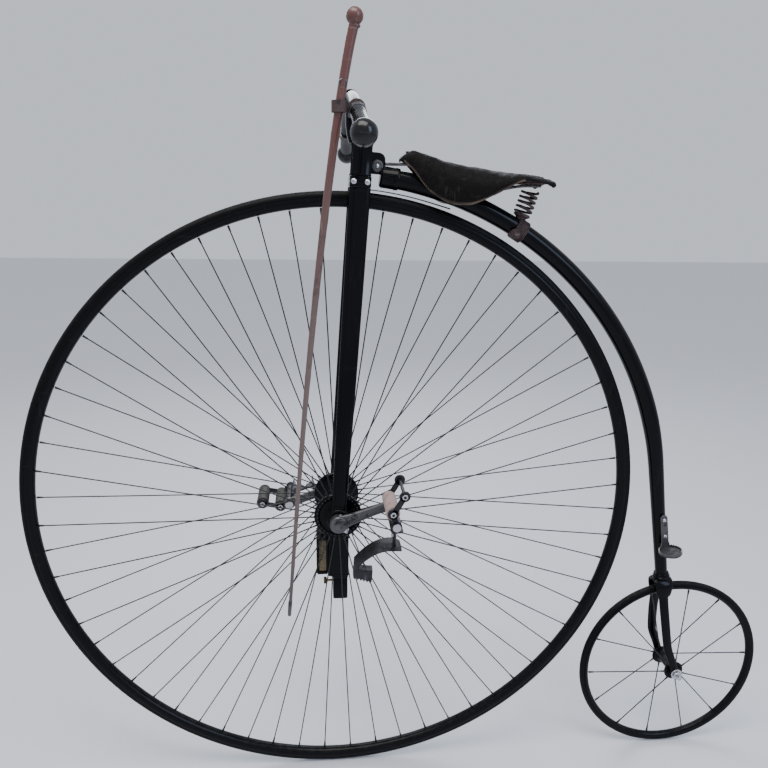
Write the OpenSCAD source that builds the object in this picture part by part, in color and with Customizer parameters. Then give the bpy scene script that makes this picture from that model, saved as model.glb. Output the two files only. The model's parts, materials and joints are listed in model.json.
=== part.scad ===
// High-wheel bicycle with direct cranks on the front hub.
// Millimetres. +X is forward, +Y is the rider's left, +Z is up.
// The modules are drawn from the ground point under the front hub, and
// placed() moves that frame to the rider's seat, which is the part's origin.

/* [Front wheel] */
// Outside diameter of the front wheel, over its tyre
front_wheel_d = 1320; // [1100:10:1600]
// Diameter of the front tyre's round section
front_tyre_d = 22; // [18:1:27]
// Width of the front rim
front_rim_w = 26; // [22:1:32]
// How far the front rim's inner side lies inside the tyre's middle
front_rim_depth = 20.5; // [17:0.5:26]
// Number of front spokes, half of them on each flange
front_spokes = 64; // [48:4:80]
// Diameter of every spoke
spoke_d = 2.6; // [2:0.2:3.4]
// Distance between the middles of the front hub's flanges
front_hub_w = 118; // [100:2:144]
// Diameter of the front hub's flanges
front_flange_d = 100; // [80:2:124]
// Thickness of the front hub's flanges
front_flange_t = 10; // [6:1:12]
// Diameter of the front hub's barrel
front_barrel_d = 34; // [26:1:42]
// Diameter of the front axle
front_axle_d = 18; // [14:1:22]

/* [Rear wheel] */
// Outside diameter of the rear wheel, over its tyre
rear_wheel_d = 440; // [360:10:530]
// Diameter of the rear tyre's round section
rear_tyre_d = 16; // [12:1:20]
// Width of the rear rim
rear_rim_w = 18; // [14:1:22]
// How far the rear rim's inner side lies inside the tyre's middle
rear_rim_depth = 12.5; // [10:0.5:16]
// Number of rear spokes, half of them on each flange
rear_spokes = 14; // [10:2:20]
// Distance between the middles of the rear hub's flanges
rear_hub_w = 62; // [50:2:76]
// Diameter of the rear hub's flanges
rear_flange_d = 46; // [38:2:60]
// Diameter of the rear axle
rear_axle_d = 11; // [9:1:14]
// Gap between the two tyres
wheel_gap = 36; // [20:2:60]

/* [Backbone] */
// Diameter of the backbone along its arc
backbone_d = 37; // [30:1:44]
// Diameter of the backbone at its lower end
backbone_tail_d = 27; // [22:1:33]
// Gap between the front tyre and the backbone at the neck
backbone_gap = 14; // [12:1:30]
// How far the arc's middle lies below the front hub
arc_drop = 44; // [20:2:60]
// How far the arc's middle lies ahead of the front hub
arc_lead = 12; // [0:1:30]

/* [Fork and head] */
// Backward lean of the steering axis, in degrees
rake = 3.8; // [2:0.2:6]
// Gap between the front tyre and the crown above it
crown_gap = 7; // [5:1:12]
// Height of the crown
crown_h = 22; // [16:1:30]
// Length of the head along the bicycle
head_l = 40; // [34:1:46]
// Distance between the middles of the head's two cheeks
head_w = 62; // [58:1:72]
// Thickness of each cheek
cheek_t = 14; // [10:1:16]
// Height of the head's opening
head_opening = 62; // [50:1:80]
// Width of a fork blade at the crown
blade_w = 42; // [34:1:46]
// Width of a fork blade at the hub
blade_tip_w = 30; // [24:1:34]
// Thickness of a fork blade
blade_t = 14; // [10:1:16]
// Outside diameter of the bearing cases at the blades' ends
bearing_d = 48; // [40:1:56]
// Width of each bearing case
bearing_w = 20; // [14:1:24]
// Thickness of the neck where it passes through the head
neck_t = 12; // [8:1:13]

/* [Handlebar] */
// Distance between the middles of the two grips' round ends
grip_span = 584; // [500:4:700]
// Diameter of the handlebar's tube
bar_d = 20; // [16:1:25]
// How far the handlebar drops from its middle to the grips
bar_drop = 82; // [40:2:110]
// How far the handlebar's middle lies ahead of the steering axis
bar_reach = 29; // [24:1:40]
// Height of the handlebar's middle above the head's opening
bar_rise = 76; // [60:1:100]
// Diameter of the grips' round ends
grip_d = 44; // [36:1:52]

/* [Cranks and pedals] */
// Distance from the axle to the pedal pin
crank_l = 114; // [100:2:170]
// Angle of the left crank above the horizontal, pointing backwards
crank_angle = 20; // [0:1:90]
// Thickness of a crank's arm
crank_t = 11; // [8:1:14]
// Diameter of a crank's boss
crank_boss_d = 36; // [30:1:44]
// Diameter of a pedal pin
pedal_pin_d = 10; // [8:1:13]
// Length of a pedal between its end plates' outer faces
pedal_l = 88; // [70:1:96]
// Half the distance between the middles of a pedal's two rubbers
pedal_spread = 21; // [18:1:26]
// Height of the middle between the rubbers over the pedal pin
pedal_rise = 39; // [37:1:50]
// Distance that the rubbers lie ahead of the pedal pin
pedal_lead = 18.7; // [16:0.5:24]
// Diameter of a pedal rubber
rubber_d = 28; // [22:1:32]

/* [Saddle] */
// Length of the saddle
saddle_l = 296; // [250:2:340]
// Width of the saddle at its back
saddle_w = 150; // [130:2:180]
// Thickness of the saddle's leather
leather_t = 5; // [3:0.5:7]
// Outside diameter of the saddle's coil spring
coil_d = 38; // [30:1:46]
// Diameter of the coil spring's wire
coil_wire_d = 5; // [4:0.5:7]
// Width of the saddle's long leaf spring
leaf_w = 18; // [14:1:22]
// Thickness of the saddle's long leaf spring
leaf_t = 6; // [4:0.5:8]

/* [Hub lamp] */
// Length of the lamp's body along the bicycle
lamp_l = 44; // [36:1:52]
// Width of the lamp's body
lamp_w = 66; // [50:1:72]
// Height of the lamp's body
lamp_h = 100; // [80:1:120]
// Height of the oil tank below the lamp's body
tank_h = 58; // [40:1:70]

/* [Cane] */
// Length of the walking cane
cane_l = 1050; // [800:10:1150]
// Diameter of the cane below its ball
cane_d = 17; // [13:1:20]
// Diameter of the ball on the cane
cane_ball_d = 28; // [22:1:36]

/* [Fits] */
// Running clearance between a pin and its bore, measured on the radius
run_gap = 0.3; // [0.2:0.05:0.5]
// Gap between parts that are fastened together
seat_gap = 0.2; // [0.1:0.05:0.3]

/* [Hidden] */
fine = 96;

// Wheels
front_r = front_wheel_d / 2;
rear_r = rear_wheel_d / 2;
front_tyre_mid = front_r - front_tyre_d / 2;
rear_tyre_mid = rear_r - rear_tyre_d / 2;
front_rim_in = front_tyre_mid - front_rim_depth;
rear_rim_in = rear_tyre_mid - rear_rim_depth;
rear_x = -sqrt(pow(front_r + rear_r + wheel_gap, 2) - pow(front_r - rear_r, 2));

// Front hub, outwards from the middle of the wheel
flange_out = front_hub_w / 2 + front_flange_t / 2;
bearing_in = flange_out + 2.5;
bearing_out = bearing_in + bearing_w;
crank_in = bearing_out + 3.5;
crank_boss_w = crank_t + 8;
crank_out = crank_in + crank_boss_w;
pedal_in = crank_out + 5;
pedal_out = pedal_in + pedal_l;
plate_t = 3;
pin_end = 7;

// Backbone arc and the straight tail that touches it
arc_r = front_r + backbone_gap + backbone_d / 2 + arc_drop * cos(9) + arc_lead * sin(9);
arc_c = [arc_lead, front_r - arc_drop];
rear_crown_gap = 5;
rear_crown_wall = 12;
rear_crown_top = rear_wheel_d + rear_crown_gap + rear_crown_wall;
tail = [rear_x + 42, rear_crown_top - 3];
tail_v = [arc_c[0] - tail[0], tail[1] - arc_c[1]];
tail_reach = norm(tail_v);
tail_a = atan2(tail_v[1], tail_v[0]) + acos(min(1, arc_r / tail_reach));
touch = [arc_c[0] - arc_r * cos(tail_a), arc_c[1] + arc_r * sin(tail_a)];
arc_start = 90 - 8.1;
arc_steps = 26;
tail_steps = 8;
function arc_at(a) = [arc_c[0] - arc_r * cos(a), arc_c[1] + arc_r * sin(a)];
function arc_way(a) = [-sin(a), -cos(a)];
backbone_path = concat(
  [for (i = [0 : arc_steps]) let (a = arc_start + (tail_a - arc_start) * i / arc_steps) arc_at(a)],
  [for (i = [1 : tail_steps]) touch + (tail - touch) * i / tail_steps]);
backbone_n = len(backbone_path) - 1;
function backbone_d_at(i) = backbone_d
  - (backbone_d - backbone_tail_d) * pow(max(0, i / backbone_n - 0.68) / 0.32, 0.8);

// Head, measured up the steering axis from the front hub
crown_z = front_r + crown_gap;
head_z = crown_z + crown_h;
head_top_z = head_z + head_opening;
bridge_h = 18;
bar_z = head_top_z + bar_rise;
crown_half = head_w / 2 + cheek_t / 2;
blade_top_y = head_w / 2 - 4;
blade_tip_z = 30;
bearing_mid = (bearing_in + bearing_out) / 2;

// Saddle, along the bicycle from its nose backwards
nose_x = -122;
saddle_base_z = front_wheel_d + backbone_d - 12;
seat_x = nose_x - 0.57 * saddle_l;
function saddle_top(t) = saddle_base_z - 8 * pow(t, 12)
  + (t < 0.1 ? 38 + 15 * sin(900 * t) : 53 * exp(-1.85 * (t - 0.1) / 0.9));
function saddle_half(t) = 14 + (saddle_w / 2 - 14) * pow(sin(min(90, 112 * t)), 1.15) * (1 - 0.2 * pow(t, 14));
function saddle_drop(t) = 9 + 5 * t + 70 * pow(sin(180 * pow(max(0, min(1, (t - 0.02) / 0.78)), 0.75)), 1.2);
seat_z = saddle_top(0.57);

// Cranks and pedals
left_end = [-crank_l * cos(crank_angle), crank_l * sin(crank_angle)];
right_end = -left_end;
left_pedal_tilt = 31;
right_pedal_tilt = 281;

// Moves the ground frame to the seat
module placed() { translate([-seat_x, 0, -seat_z]) children(); }
// Stands children on the front hub, leaning with the steering axis
module raked() { translate([0, 0, front_r]) rotate([0, -rake, 0]) children(); }
// Stands children on the front hub, upright
module at_front_hub() { translate([0, 0, front_r]) children(); }
// Stands children on the rear hub, upright
module at_rear_hub() { translate([rear_x, 0, rear_r]) children(); }
// A cylinder across the bicycle, from y0 to y1
module across(d, y0, y1) { translate([0, y1, 0]) rotate([90, 0, 0]) cylinder(h = y1 - y0, d = d, $fn = fine); }
// A tube across the bicycle
module across_tube(d, bore, y0, y1) {
  difference() {
    across(d, y0, y1);
    across(bore, y0 - 1, y1 + 1);
  }
}
// A flat outline in the X-Z plane, thick from y0 to y1
module slab(y0, y1) { translate([0, y1, 0]) rotate([90, 0, 0]) linear_extrude(y1 - y0) children(); }
// A rectangle with round corners
module round_rect(w, h, r) {
  square([w - 2 * r, h], center = true);
  square([w, h - 2 * r], center = true);
  for (x = [-1, 1], y = [-1, 1]) translate([x * (w / 2 - r), y * (h / 2 - r)]) circle(r = r, $fn = 48);
}
// A closed skin over rings of points, each turning the right-hand way along the path
// An arch's rings run out over its top and back along its underside
module skin(rings, arch = false) {
  n = len(rings[0]);
  m = len(rings);
  last = (m - 1) * n;
  polyhedron(
    points = [for (ring = rings) for (p = ring) p],
    faces = concat(
      arch ? [for (i = [0 : n / 2 - 2]) [i, i + 1, n - 2 - i, n - 1 - i]] : [[for (i = [0 : n - 1]) i]],
      [for (j = [0 : m - 2]) for (i = [0 : n - 1]) [j * n + i, (j + 1) * n + (i + 1) % n, j * n + (i + 1) % n]],
      [for (j = [0 : m - 2]) for (i = [0 : n - 1]) [j * n + i, (j + 1) * n + i, (j + 1) * n + (i + 1) % n]],
      arch ? [for (i = [0 : n / 2 - 2]) [last + n - 1 - i, last + n - 2 - i, last + i + 1, last + i]]
        : [[for (i = [0 : n - 1]) m * n - 1 - i]]));
}
function unit(v) = v / norm(v);
// Direction of a path at its point i
function heading(path, i) = unit(path[min(i + 1, len(path) - 1)] - path[max(i - 1, 0)]);
// An oval ring across a path; "side" is the direction of the oval's width w
function oval_ring(p, way, side, w, t, sides) =
  let (u = unit(side - (side * way) * way), v = cross(way, u))
  [for (k = [0 : sides - 1]) p + u * w / 2 * cos(360 * k / sides) + v * t / 2 * sin(360 * k / sides)];
function oval_rings(path, side, w, t, sides) =
  [for (i = [0 : len(path) - 1]) oval_ring(path[i], heading(path, i), side, w[i], t[i], sides)];
// A flat strip of width w and thickness t along a path of X-Z points
module strip(path, w, t) {
  n = len(path) - 1;
  across_way = [for (i = [0 : n]) let (v = unit(path[min(i + 1, n)] - path[max(i - 1, 0)])) [-v[1], v[0]] * t / 2];
  slab(-w / 2, w / 2) polygon(concat(
    [for (i = [0 : n]) path[i] - across_way[i]],
    [for (i = [n : -1 : 0]) path[i] + across_way[i]]));
}

// ---- Wheels ----
module tyre(mid, d) {
  color("#1b1b1d") rotate([90, 0, 0]) rotate_extrude($fn = fine)
    translate([mid, 0]) circle(d = d, $fn = 32);
}
// A crescent rim: a round back with a channel for the tyre
module rim(mid, tyre_d, w, depth) {
  color("#1a1c22") rotate([90, 0, 0]) rotate_extrude($fn = fine)
    difference() {
      translate([mid - depth + w / 2, 0]) circle(d = w, $fn = 48);
      translate([mid, 0]) circle(d = tyre_d + 2 * seat_gap, $fn = 48);
      translate([mid - 2.5, -w]) square([2 * w, 2 * w]);
    }
}
// Straight spokes from one flange; they end side by side inside the rim
module spokes(count, first, flange_r, flange_y, rim_r, rim_y, side) {
  y0 = side * flange_y;
  y1 = side * rim_y;
  lean = atan2(y1 - y0, rim_r - flange_r);
  for (i = [0 : count - 1])
    rotate([0, first + 360 * i / count, 0]) translate([0, y0, flange_r])
      rotate([-lean, 0, 0]) cylinder(h = norm([y1 - y0, rim_r - flange_r]), d = spoke_d, $fn = 16);
}
module front_spokes_on(side) {
  step_a = 360 / front_spokes;
  color("#2a2a2e") at_front_hub()
    spokes(front_spokes / 2, (side > 0 ? 0.5 : 1.5) * step_a, front_flange_d / 2 + seat_gap, front_hub_w / 2,
           front_rim_in - 0.6, 3, side);
}
module front_tyre() { at_front_hub() tyre(front_tyre_mid, front_tyre_d); }
module front_rim() { at_front_hub() rim(front_tyre_mid, front_tyre_d, front_rim_w, front_rim_depth); }
module front_spokes_left() { front_spokes_on(1); }
module front_spokes_right() { front_spokes_on(-1); }
module front_hub() {
  color("#16161a") at_front_hub() difference() {
    union() {
      across(front_barrel_d, -flange_out, flange_out);
      for (s = [-1, 1]) across(front_flange_d, s * front_hub_w / 2 - front_flange_t / 2,
                               s * front_hub_w / 2 + front_flange_t / 2);
    }
    across(front_axle_d + 2 * seat_gap, -flange_out - 1, flange_out + 1);
  }
}
module front_axle() { color("#6d6e72") at_front_hub() across(front_axle_d, -crank_out - 2, crank_out + 2); }

module rear_tyre() { at_rear_hub() tyre(rear_tyre_mid, rear_tyre_d); }
module rear_rim() { at_rear_hub() rim(rear_tyre_mid, rear_tyre_d, rear_rim_w, rear_rim_depth); }
module rear_spokes() {
  step_a = 360 / rear_spokes;
  color("#2a2a2e") at_rear_hub() for (side = [-1, 1])
    spokes(rear_spokes / 2, (side > 0 ? -8.5 : -8.5 - step_a), rear_flange_d / 2 + seat_gap, rear_hub_w / 2,
           rear_rim_in - 0.6, 2.5, side);
}
module rear_hub() {
  color("#16161a") at_rear_hub() difference() {
    union() {
      across(rear_axle_d + 11, -rear_hub_w / 2 - 4, rear_hub_w / 2 + 4);
      for (s = [-1, 1]) across(rear_flange_d, s * rear_hub_w / 2 - 2.5, s * rear_hub_w / 2 + 2.5);
    }
    across(rear_axle_d + 2 * run_gap, -rear_hub_w, rear_hub_w);
  }
}

// ---- Frame ----
module backbone() {
  color("#17181c") skin([for (i = [0 : backbone_n])
    let (p = [backbone_path[i][0], 0, backbone_path[i][1]],
         a = backbone_path[max(0, i - 1)], b = backbone_path[min(backbone_n, i + 1)],
         d = backbone_d_at(i))
    oval_ring(p, unit([b[0] - a[0], 0, b[1] - a[1]]), [0, 1, 0], d, d, 24)]);
}
neck_grip = 30;
neck_end = 8;
neck_back = 47;
neck_bolt_d = 24;
// The backbone curves a little inside its straight socket
neck_bore_gap = 0.7;
module on_backbone_start() {
  start = arc_at(arc_start);
  way = arc_way(arc_start);
  translate([start[0], 0, start[1]]) rotate([0, atan2(-way[0], -way[1]), 0]) children();
}
module neck() {
  start = arc_at(arc_start);
  color("#1b1c20") difference() {
    union() {
      raked() {
        translate([0, 0, head_z + 4]) cylinder(h = head_opening - 8, d = 24, $fn = fine);
        translate([0, 0, head_z - 8]) cylinder(h = head_opening + 16, d = 9, $fn = fine);
        slab(-neck_t / 2, neck_t / 2) {
          translate([-neck_back, head_z + 6]) square([neck_back, head_opening - 35]);
          translate([14 - neck_back, head_z + 6]) square([neck_back - 14, head_opening - 21]);
          translate([14 - neck_back, head_z + head_opening - 29]) circle(r = 14, $fn = 64);
        }
      }
      on_backbone_start() translate([0, 0, -neck_grip]) cylinder(h = neck_grip + neck_end, d = backbone_d + 6, $fn = fine);
      translate([start[0] + 13, 0, start[1] + 20]) across(neck_bolt_d, -neck_t / 2 - 4, neck_t / 2 + 4);
    }
    on_backbone_start() translate([0, 0, -neck_grip - 1])
      cylinder(h = neck_grip + 1 + neck_bore_gap, d = backbone_d + 2 * neck_bore_gap, $fn = fine);
  }
}
module across_at(x, z, d, y0, y1) { translate([x, 0, z]) across(d, y0, y1); }

rear_blade_y = rear_hub_w / 2 + 11;
rear_blade_t = 8;
rear_top_y = rear_rim_w / 2 + 6 + rear_blade_t / 2;
rear_bend = [rear_x + 26, rear_r + 66];
module rear_blade(side) {
  path = [[tail[0] - 1, side * rear_top_y, rear_crown_top - 34],
          [(tail[0] + rear_bend[0]) / 2 - 1, side * (rear_top_y * 0.45 + rear_blade_y * 0.55), (rear_crown_top + rear_bend[1]) / 2 - 17],
          [rear_bend[0], side * (rear_blade_y - 1), rear_bend[1]],
          [rear_bend[0] - 7, side * rear_blade_y, rear_bend[1] - 19],
          [rear_x + 4, side * rear_blade_y, rear_r + 8.5]];
  skin(oval_rings(path, [1, 0, 0.3], [24, 22, 20, 19, 18], [9, 8.5, 8, 8, 8], 20));
}
module rear_fork() {
  color("#17181c") {
    difference() {
      translate([tail[0], 0, rear_crown_top - 26]) rotate([0, 90, 0]) translate([0, 0, -23])
        cylinder(h = 46, d = 52, $fn = fine);
      translate([tail[0] - 40, -rear_rim_w / 2 - 5.5, 0]) cube([80, rear_rim_w + 11, rear_wheel_d + rear_crown_gap]);
      translate([tail[0] - 40, -40, 0]) cube([80, 80, rear_crown_top - 40]);
      translate([tail[0], 0, tail[1]]) rotate([0, atan2(touch[0] - tail[0], touch[1] - tail[1]), 0])
        translate([0, 0, -seat_gap]) cylinder(h = 60, d = backbone_tail_d + 4 * seat_gap, $fn = fine);
    }
    for (side = [-1, 1]) {
      rear_blade(side);
      at_rear_hub() across_tube(28, rear_axle_d + 2 * seat_gap, side * rear_blade_y - 4, side * rear_blade_y + 4);
    }
  }
}
rear_axle_out = rear_blade_y + 22;
module rear_axle() {
  color("#8a8c90") at_rear_hub() {
    across(rear_axle_d, -rear_axle_out, rear_axle_out);
    for (s = [-1, 1]) {
      nut_y = s * (rear_blade_y + 4.2 + 4.5);
      translate([0, nut_y + 4.5, 0]) rotate([90, 0, 0]) cylinder(h = 9, d = 21, $fn = 6);
      cone_y = s * (rear_blade_y - 4.2 - 1);
      across(rear_axle_d + 6, cone_y - 1, cone_y + 1);
    }
  }
}
module step() {
  t0 = 0.55;
  mid = touch + (tail - touch) * t0;
  lean_a = atan2(touch[0] - tail[0], touch[1] - tail[1]);
  d = backbone_d_at(arc_steps + tail_steps * t0) + 1.6;
  color("#5b5c60") translate([mid[0] - 4, 0, mid[1]]) rotate([0, lean_a, 0]) {
    slab(d / 2 + seat_gap, d / 2 + 5) difference() {
      union() {
        round_rect(16, 82, 7.9);
        translate([0, -30]) square([20, 20], center = true);
      }
      for (z = [-12, 28]) translate([0, z]) circle(d = 5, $fn = 32);
    }
    for (z = [-12, 28]) translate([0, 0, z]) across(8, d / 2 + 4, d / 2 + 7);
    translate([0, d / 2 + 27, -40]) rotate([6, 0, 0]) linear_extrude(6) difference() {
      intersection() {
        translate([0, -16]) circle(d = 86, $fn = 64);
        translate([0, 16]) circle(d = 86, $fn = 64);
        square([60, 52], center = true);
      }
      square([22, 12], center = true);
    }
  }
}

// ---- Saddle ----
function saddle_x(t) = nose_x - t * saddle_l;
saddle_stations = [0, 0.03, 0.08, 0.15, 0.24, 0.33, 0.42, 0.51, 0.6, 0.69, 0.78, 0.86, 0.93, 0.98, 1];
saddle_sides = 12;
// One half-turn of the leather's section, from the right flap over the top to the left flap
function saddle_arch(t, inset) = [for (k = [0 : saddle_sides])
  let (a = 180 * k / saddle_sides, w = saddle_half(t) - inset, c = cos(a), flat = pow(abs(c), 0.8) * sign(c))
  [saddle_x(t), w * -flat, saddle_top(t) - inset - (saddle_drop(t) - inset) * (1 - pow(sin(a), 0.75))]];
module saddle_leather() {
  color("#2d2826") skin([for (t = saddle_stations)
    let (under = saddle_arch(t, leather_t)) concat(saddle_arch(t, 0), [for (k = [saddle_sides : -1 : 0]) under[k]])], true);
}
rear_plate_z = saddle_base_z - 7.5;
rear_plate_t = 4;
leaf_z0 = front_r + 711;
leaf_low = front_r + 662;
leaf_end = rear_plate_z - seat_gap - leaf_t / 2;
function leaf_height(s) = s < 0.28 ? leaf_z0
  : s < 0.62 ? leaf_z0 - (leaf_z0 - leaf_low) * (1 - cos(180 * (s - 0.28) / 0.34)) / 2
  : leaf_low + (leaf_end - leaf_low) * (1 - cos(180 * min(1, (s - 0.62) / 0.3))) / 2;
leaf_front = -neck_back - (leaf_z0 - front_r) * sin(rake) - 0.6;
leaf_back = saddle_x(0.96);
module saddle_leaf_spring() {
  color("#6f7074") strip([for (k = [0 : 24]) let (s = k / 24)
    [leaf_front + (leaf_back - leaf_front) * s, leaf_height(s)]], leaf_w, leaf_t);
}
module saddle_rear_plate() {
  color("#3b3230") translate([saddle_x(0.88), 0, rear_plate_z]) linear_extrude(rear_plate_t)
    round_rect(48, saddle_w * 0.62, 10);
}
// The coil spring stands on a pad of the clamp and carries the leaf spring's end
clamp_a = 59;
clamp_wall = 4;
clamp_r = backbone_d / 2 + clamp_wall;
clamp_mid = arc_at(clamp_a);
clamp_up = [-cos(clamp_a), sin(clamp_a)];
pad_h = 8;
coil_turns = 5;
coil_foot = clamp_mid + clamp_up * (clamp_r + pad_h) + 12 * [clamp_up[1], -clamp_up[0]];
coil_top = [saddle_x(0.905), leaf_end - leaf_t / 2 - seat_gap];
coil_tilt = atan2(coil_top[0] - coil_foot[0], coil_top[1] - coil_foot[1]);
module on_coil() { translate([coil_foot[0], 0, coil_foot[1]]) rotate([0, coil_tilt, 0]) children(); }
module saddle_coil_spring() {
  r = (coil_d - coil_wire_d) / 2;
  n = 14 * coil_turns;
  low = coil_wire_d / 2 + seat_gap;
  high = norm(coil_top - coil_foot) - r * tan(abs(coil_tilt)) - coil_wire_d / 2 - 0.7;
  path = [for (i = [0 : n]) let (a = 360 * coil_turns * i / n, g = 1 - 0.14 * sin(180 * i / n))
    [r * g * cos(a), r * g * sin(a), low + (high - low) * i / n]];
  color("#5a4038") on_coil() skin([for (i = [0 : n])
    oval_ring(path[i], heading(path, i), [0, 0, 1], coil_wire_d, coil_wire_d, 8)]);
}
module on_clamp() { translate([clamp_mid[0], 0, clamp_mid[1]]) rotate([0, clamp_a - 90, 0]) children(); }
clamp_boss = [8, -13];
clamp_boss_y = backbone_d / 2 + 9;
module saddle_clamp() {
  color("#5c4a42") difference() {
    union() {
      on_clamp() rotate([0, 90, 0]) translate([0, 0, -12]) cylinder(h = 24, r = clamp_r, $fn = fine);
      on_coil() translate([0, 0, -pad_h - 8]) cylinder(h = pad_h + 8, d = coil_d - 4, $fn = fine);
      on_clamp() translate([clamp_boss[0], 0, clamp_boss[1]]) across(20, 8, clamp_boss_y);
    }
    on_clamp() rotate([0, 90, 0]) cylinder(h = 90, d = backbone_d + 2 * seat_gap + 0.6, center = true, $fn = fine);
  }
}
module saddle_bolt() {
  y = clamp_boss_y + seat_gap;
  color("#6b5248") on_clamp() translate([clamp_boss[0], 0, clamp_boss[1]]) {
    across(18, y, y + 4);
    across(11, y + 3, y + 9);
  }
}

// ---- Steering ----
module lens(l, t) {
  r = (l * l / 4 + t * t / 4) / t;
  intersection() {
    translate([0, r - t / 2]) circle(r = r, $fn = fine);
    translate([0, t / 2 - r]) circle(r = r, $fn = fine);
    square([l - 3, t], center = true);
  }
}
module steering_head() {
  color("#17181c") raked() {
    difference() {
      union() {
        for (s = [-1, 1]) translate([0, s * head_w / 2, head_z + seat_gap]) linear_extrude(head_opening - seat_gap + 1)
          lens(head_l + 3, cheek_t);
        translate([0, 0, head_top_z]) linear_extrude(bridge_h) round_rect(head_l, 2 * crown_half, 9);
        translate([bar_reach / 2 + 5, 0, head_top_z]) linear_extrude(bridge_h) round_rect(bar_reach, 26, 4);
        translate([bar_reach, 0, head_top_z + 2]) linear_extrude(bar_rise) round_rect(14, 24, 4);
        translate([bar_reach, 0, bar_z]) across(bar_d + 14, -14, 14);
      }
      translate([bar_reach, 0, bar_z]) across(bar_d + 2 * seat_gap, -20, 20);
      translate([0, 0, head_top_z - 1]) cylinder(h = 10, d = 9 + 2 * run_gap, $fn = fine);
    }
  }
}
module head_bolt() {
  color("#3a3b40") raked() {
    translate([0, 0, head_top_z + bridge_h + seat_gap]) cylinder(h = 6, d = 26, $fn = fine);
    translate([0, 0, head_top_z + bridge_h + 6]) cylinder(h = 12, d = 18, $fn = 6);
    translate([0, 0, head_top_z + bridge_h + 17]) cylinder(h = 12, d = 9, $fn = fine);
    translate([0, 0, head_top_z + bridge_h + 31]) sphere(d = 13, $fn = 48);
  }
}
module fork_crown() {
  color("#17181c") raked() {
    difference() {
      translate([0, 0, crown_z]) linear_extrude(crown_h) round_rect(blade_w, 2 * crown_half, 9);
      translate([0, 0, head_z - 10]) cylinder(h = 20, d = 9 + 2 * run_gap, $fn = fine);
    }
    for (s = [-1, 1], x = [-15, 15]) translate([x, s * (crown_half - 1), crown_z + crown_h / 2]) rotate([90, 0, 0])
      cylinder(h = 8, d = 9, center = true, $fn = fine);
  }
}
module fork_blade(side) {
  n = 12;
  z0 = blade_tip_z + seat_gap;
  z1 = crown_z - seat_gap;
  color("#17181c") raked() skin([for (i = [0 : n]) let (s = i / n)
    [for (k = [0 : 27]) let (a = 360 * k / 28, w = blade_tip_w + (blade_w - blade_tip_w) * pow(s, 0.8))
      [w / 2 * pow(abs(cos(a)), 0.8) * sign(cos(a)),
       side * (bearing_mid + (blade_top_y - bearing_mid) * s) + side * blade_t / 2 * pow(abs(sin(a)), 0.8) * sign(sin(a)),
       z0 + (z1 - z0) * s]]]);
}
module fork_blade_left() { fork_blade(1); }
module fork_blade_right() { mirror([0, 1, 0]) fork_blade(1); }
module bearing(side) {
  color("#1c1d21") raked() difference() {
    union() {
      across(bearing_d, side * bearing_mid - bearing_w / 2, side * bearing_mid + bearing_w / 2);
      translate([0, side * bearing_mid, blade_tip_z / 2]) cube([blade_tip_w, bearing_w - 4, blade_tip_z], center = true);
    }
    across(front_axle_d + 2 * run_gap, -bearing_out - 1, bearing_out + 1);
  }
}
module bearing_left() { bearing(1); }
module bearing_right() { bearing(-1); }

bar_half = grip_span / 2;
function bar_at(y) = let (t = abs(y) / bar_half)
  [bar_reach - 13 * pow(t, 4), y, bar_z - bar_drop * pow(t, 2.2)];
grip_in = bar_half - 74;
module handlebar() {
  n = 36;
  end_l = bar_at(grip_in) + (bar_at(bar_half) - bar_at(grip_in)) * 0.72;
  path = concat([[end_l[0], -end_l[1], end_l[2]]], [for (i = [0 : n]) bar_at(grip_in * (2 * i / n - 1))], [end_l]);
  color("#1b1c20") raked() skin(oval_rings(path, [1, 0, 0], [for (p = path) bar_d], [for (p = path) bar_d], 16));
}
module grip_left() {
  a = bar_at(grip_in);
  b = bar_at(bar_half);
  len_g = norm(b - a);
  pitch = atan2(a[2] - b[2], b[1] - a[1]);
  yaw_a = atan2(a[0] - b[0], b[1] - a[1]);
  color("#26272b") raked() translate(b) rotate([0, 0, yaw_a]) rotate([-90 - pitch, 0, 0])
    rotate_extrude($fn = fine) difference() {
      union() {
        intersection() {
          circle(d = grip_d, $fn = 64);
          translate([0, -grip_d]) square([grip_d, 2 * grip_d]);
        }
        polygon([[0, -len_g], [bar_d / 2 + 4, -len_g], [bar_d / 2 + 5, -len_g + 4], [bar_d / 2 + 3.5, -len_g + 16],
                 [grip_d / 2 - 2, -grip_d * 0.35], [grip_d / 2 - 4, 0], [0, 0]]);
      }
      translate([0, -len_g - 1]) square([bar_d / 2 + 0.6, len_g + 1 - 14]);
    }
}
module grip_right() { mirror([0, 1, 0]) grip_left(); }

guard_t = 1.8;
guard_from = rake - 1.6;
guard_to = 20;
module tyre_guard() {
  r0 = crown_z - guard_t - seat_gap;
  color("#1b1c20") at_front_hub() rotate([90, 0, 0]) rotate([0, 0, 90 + guard_from])
    rotate_extrude(angle = guard_to - guard_from, $fn = 360) translate([r0, -13]) square([guard_t, 26]);
}

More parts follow.
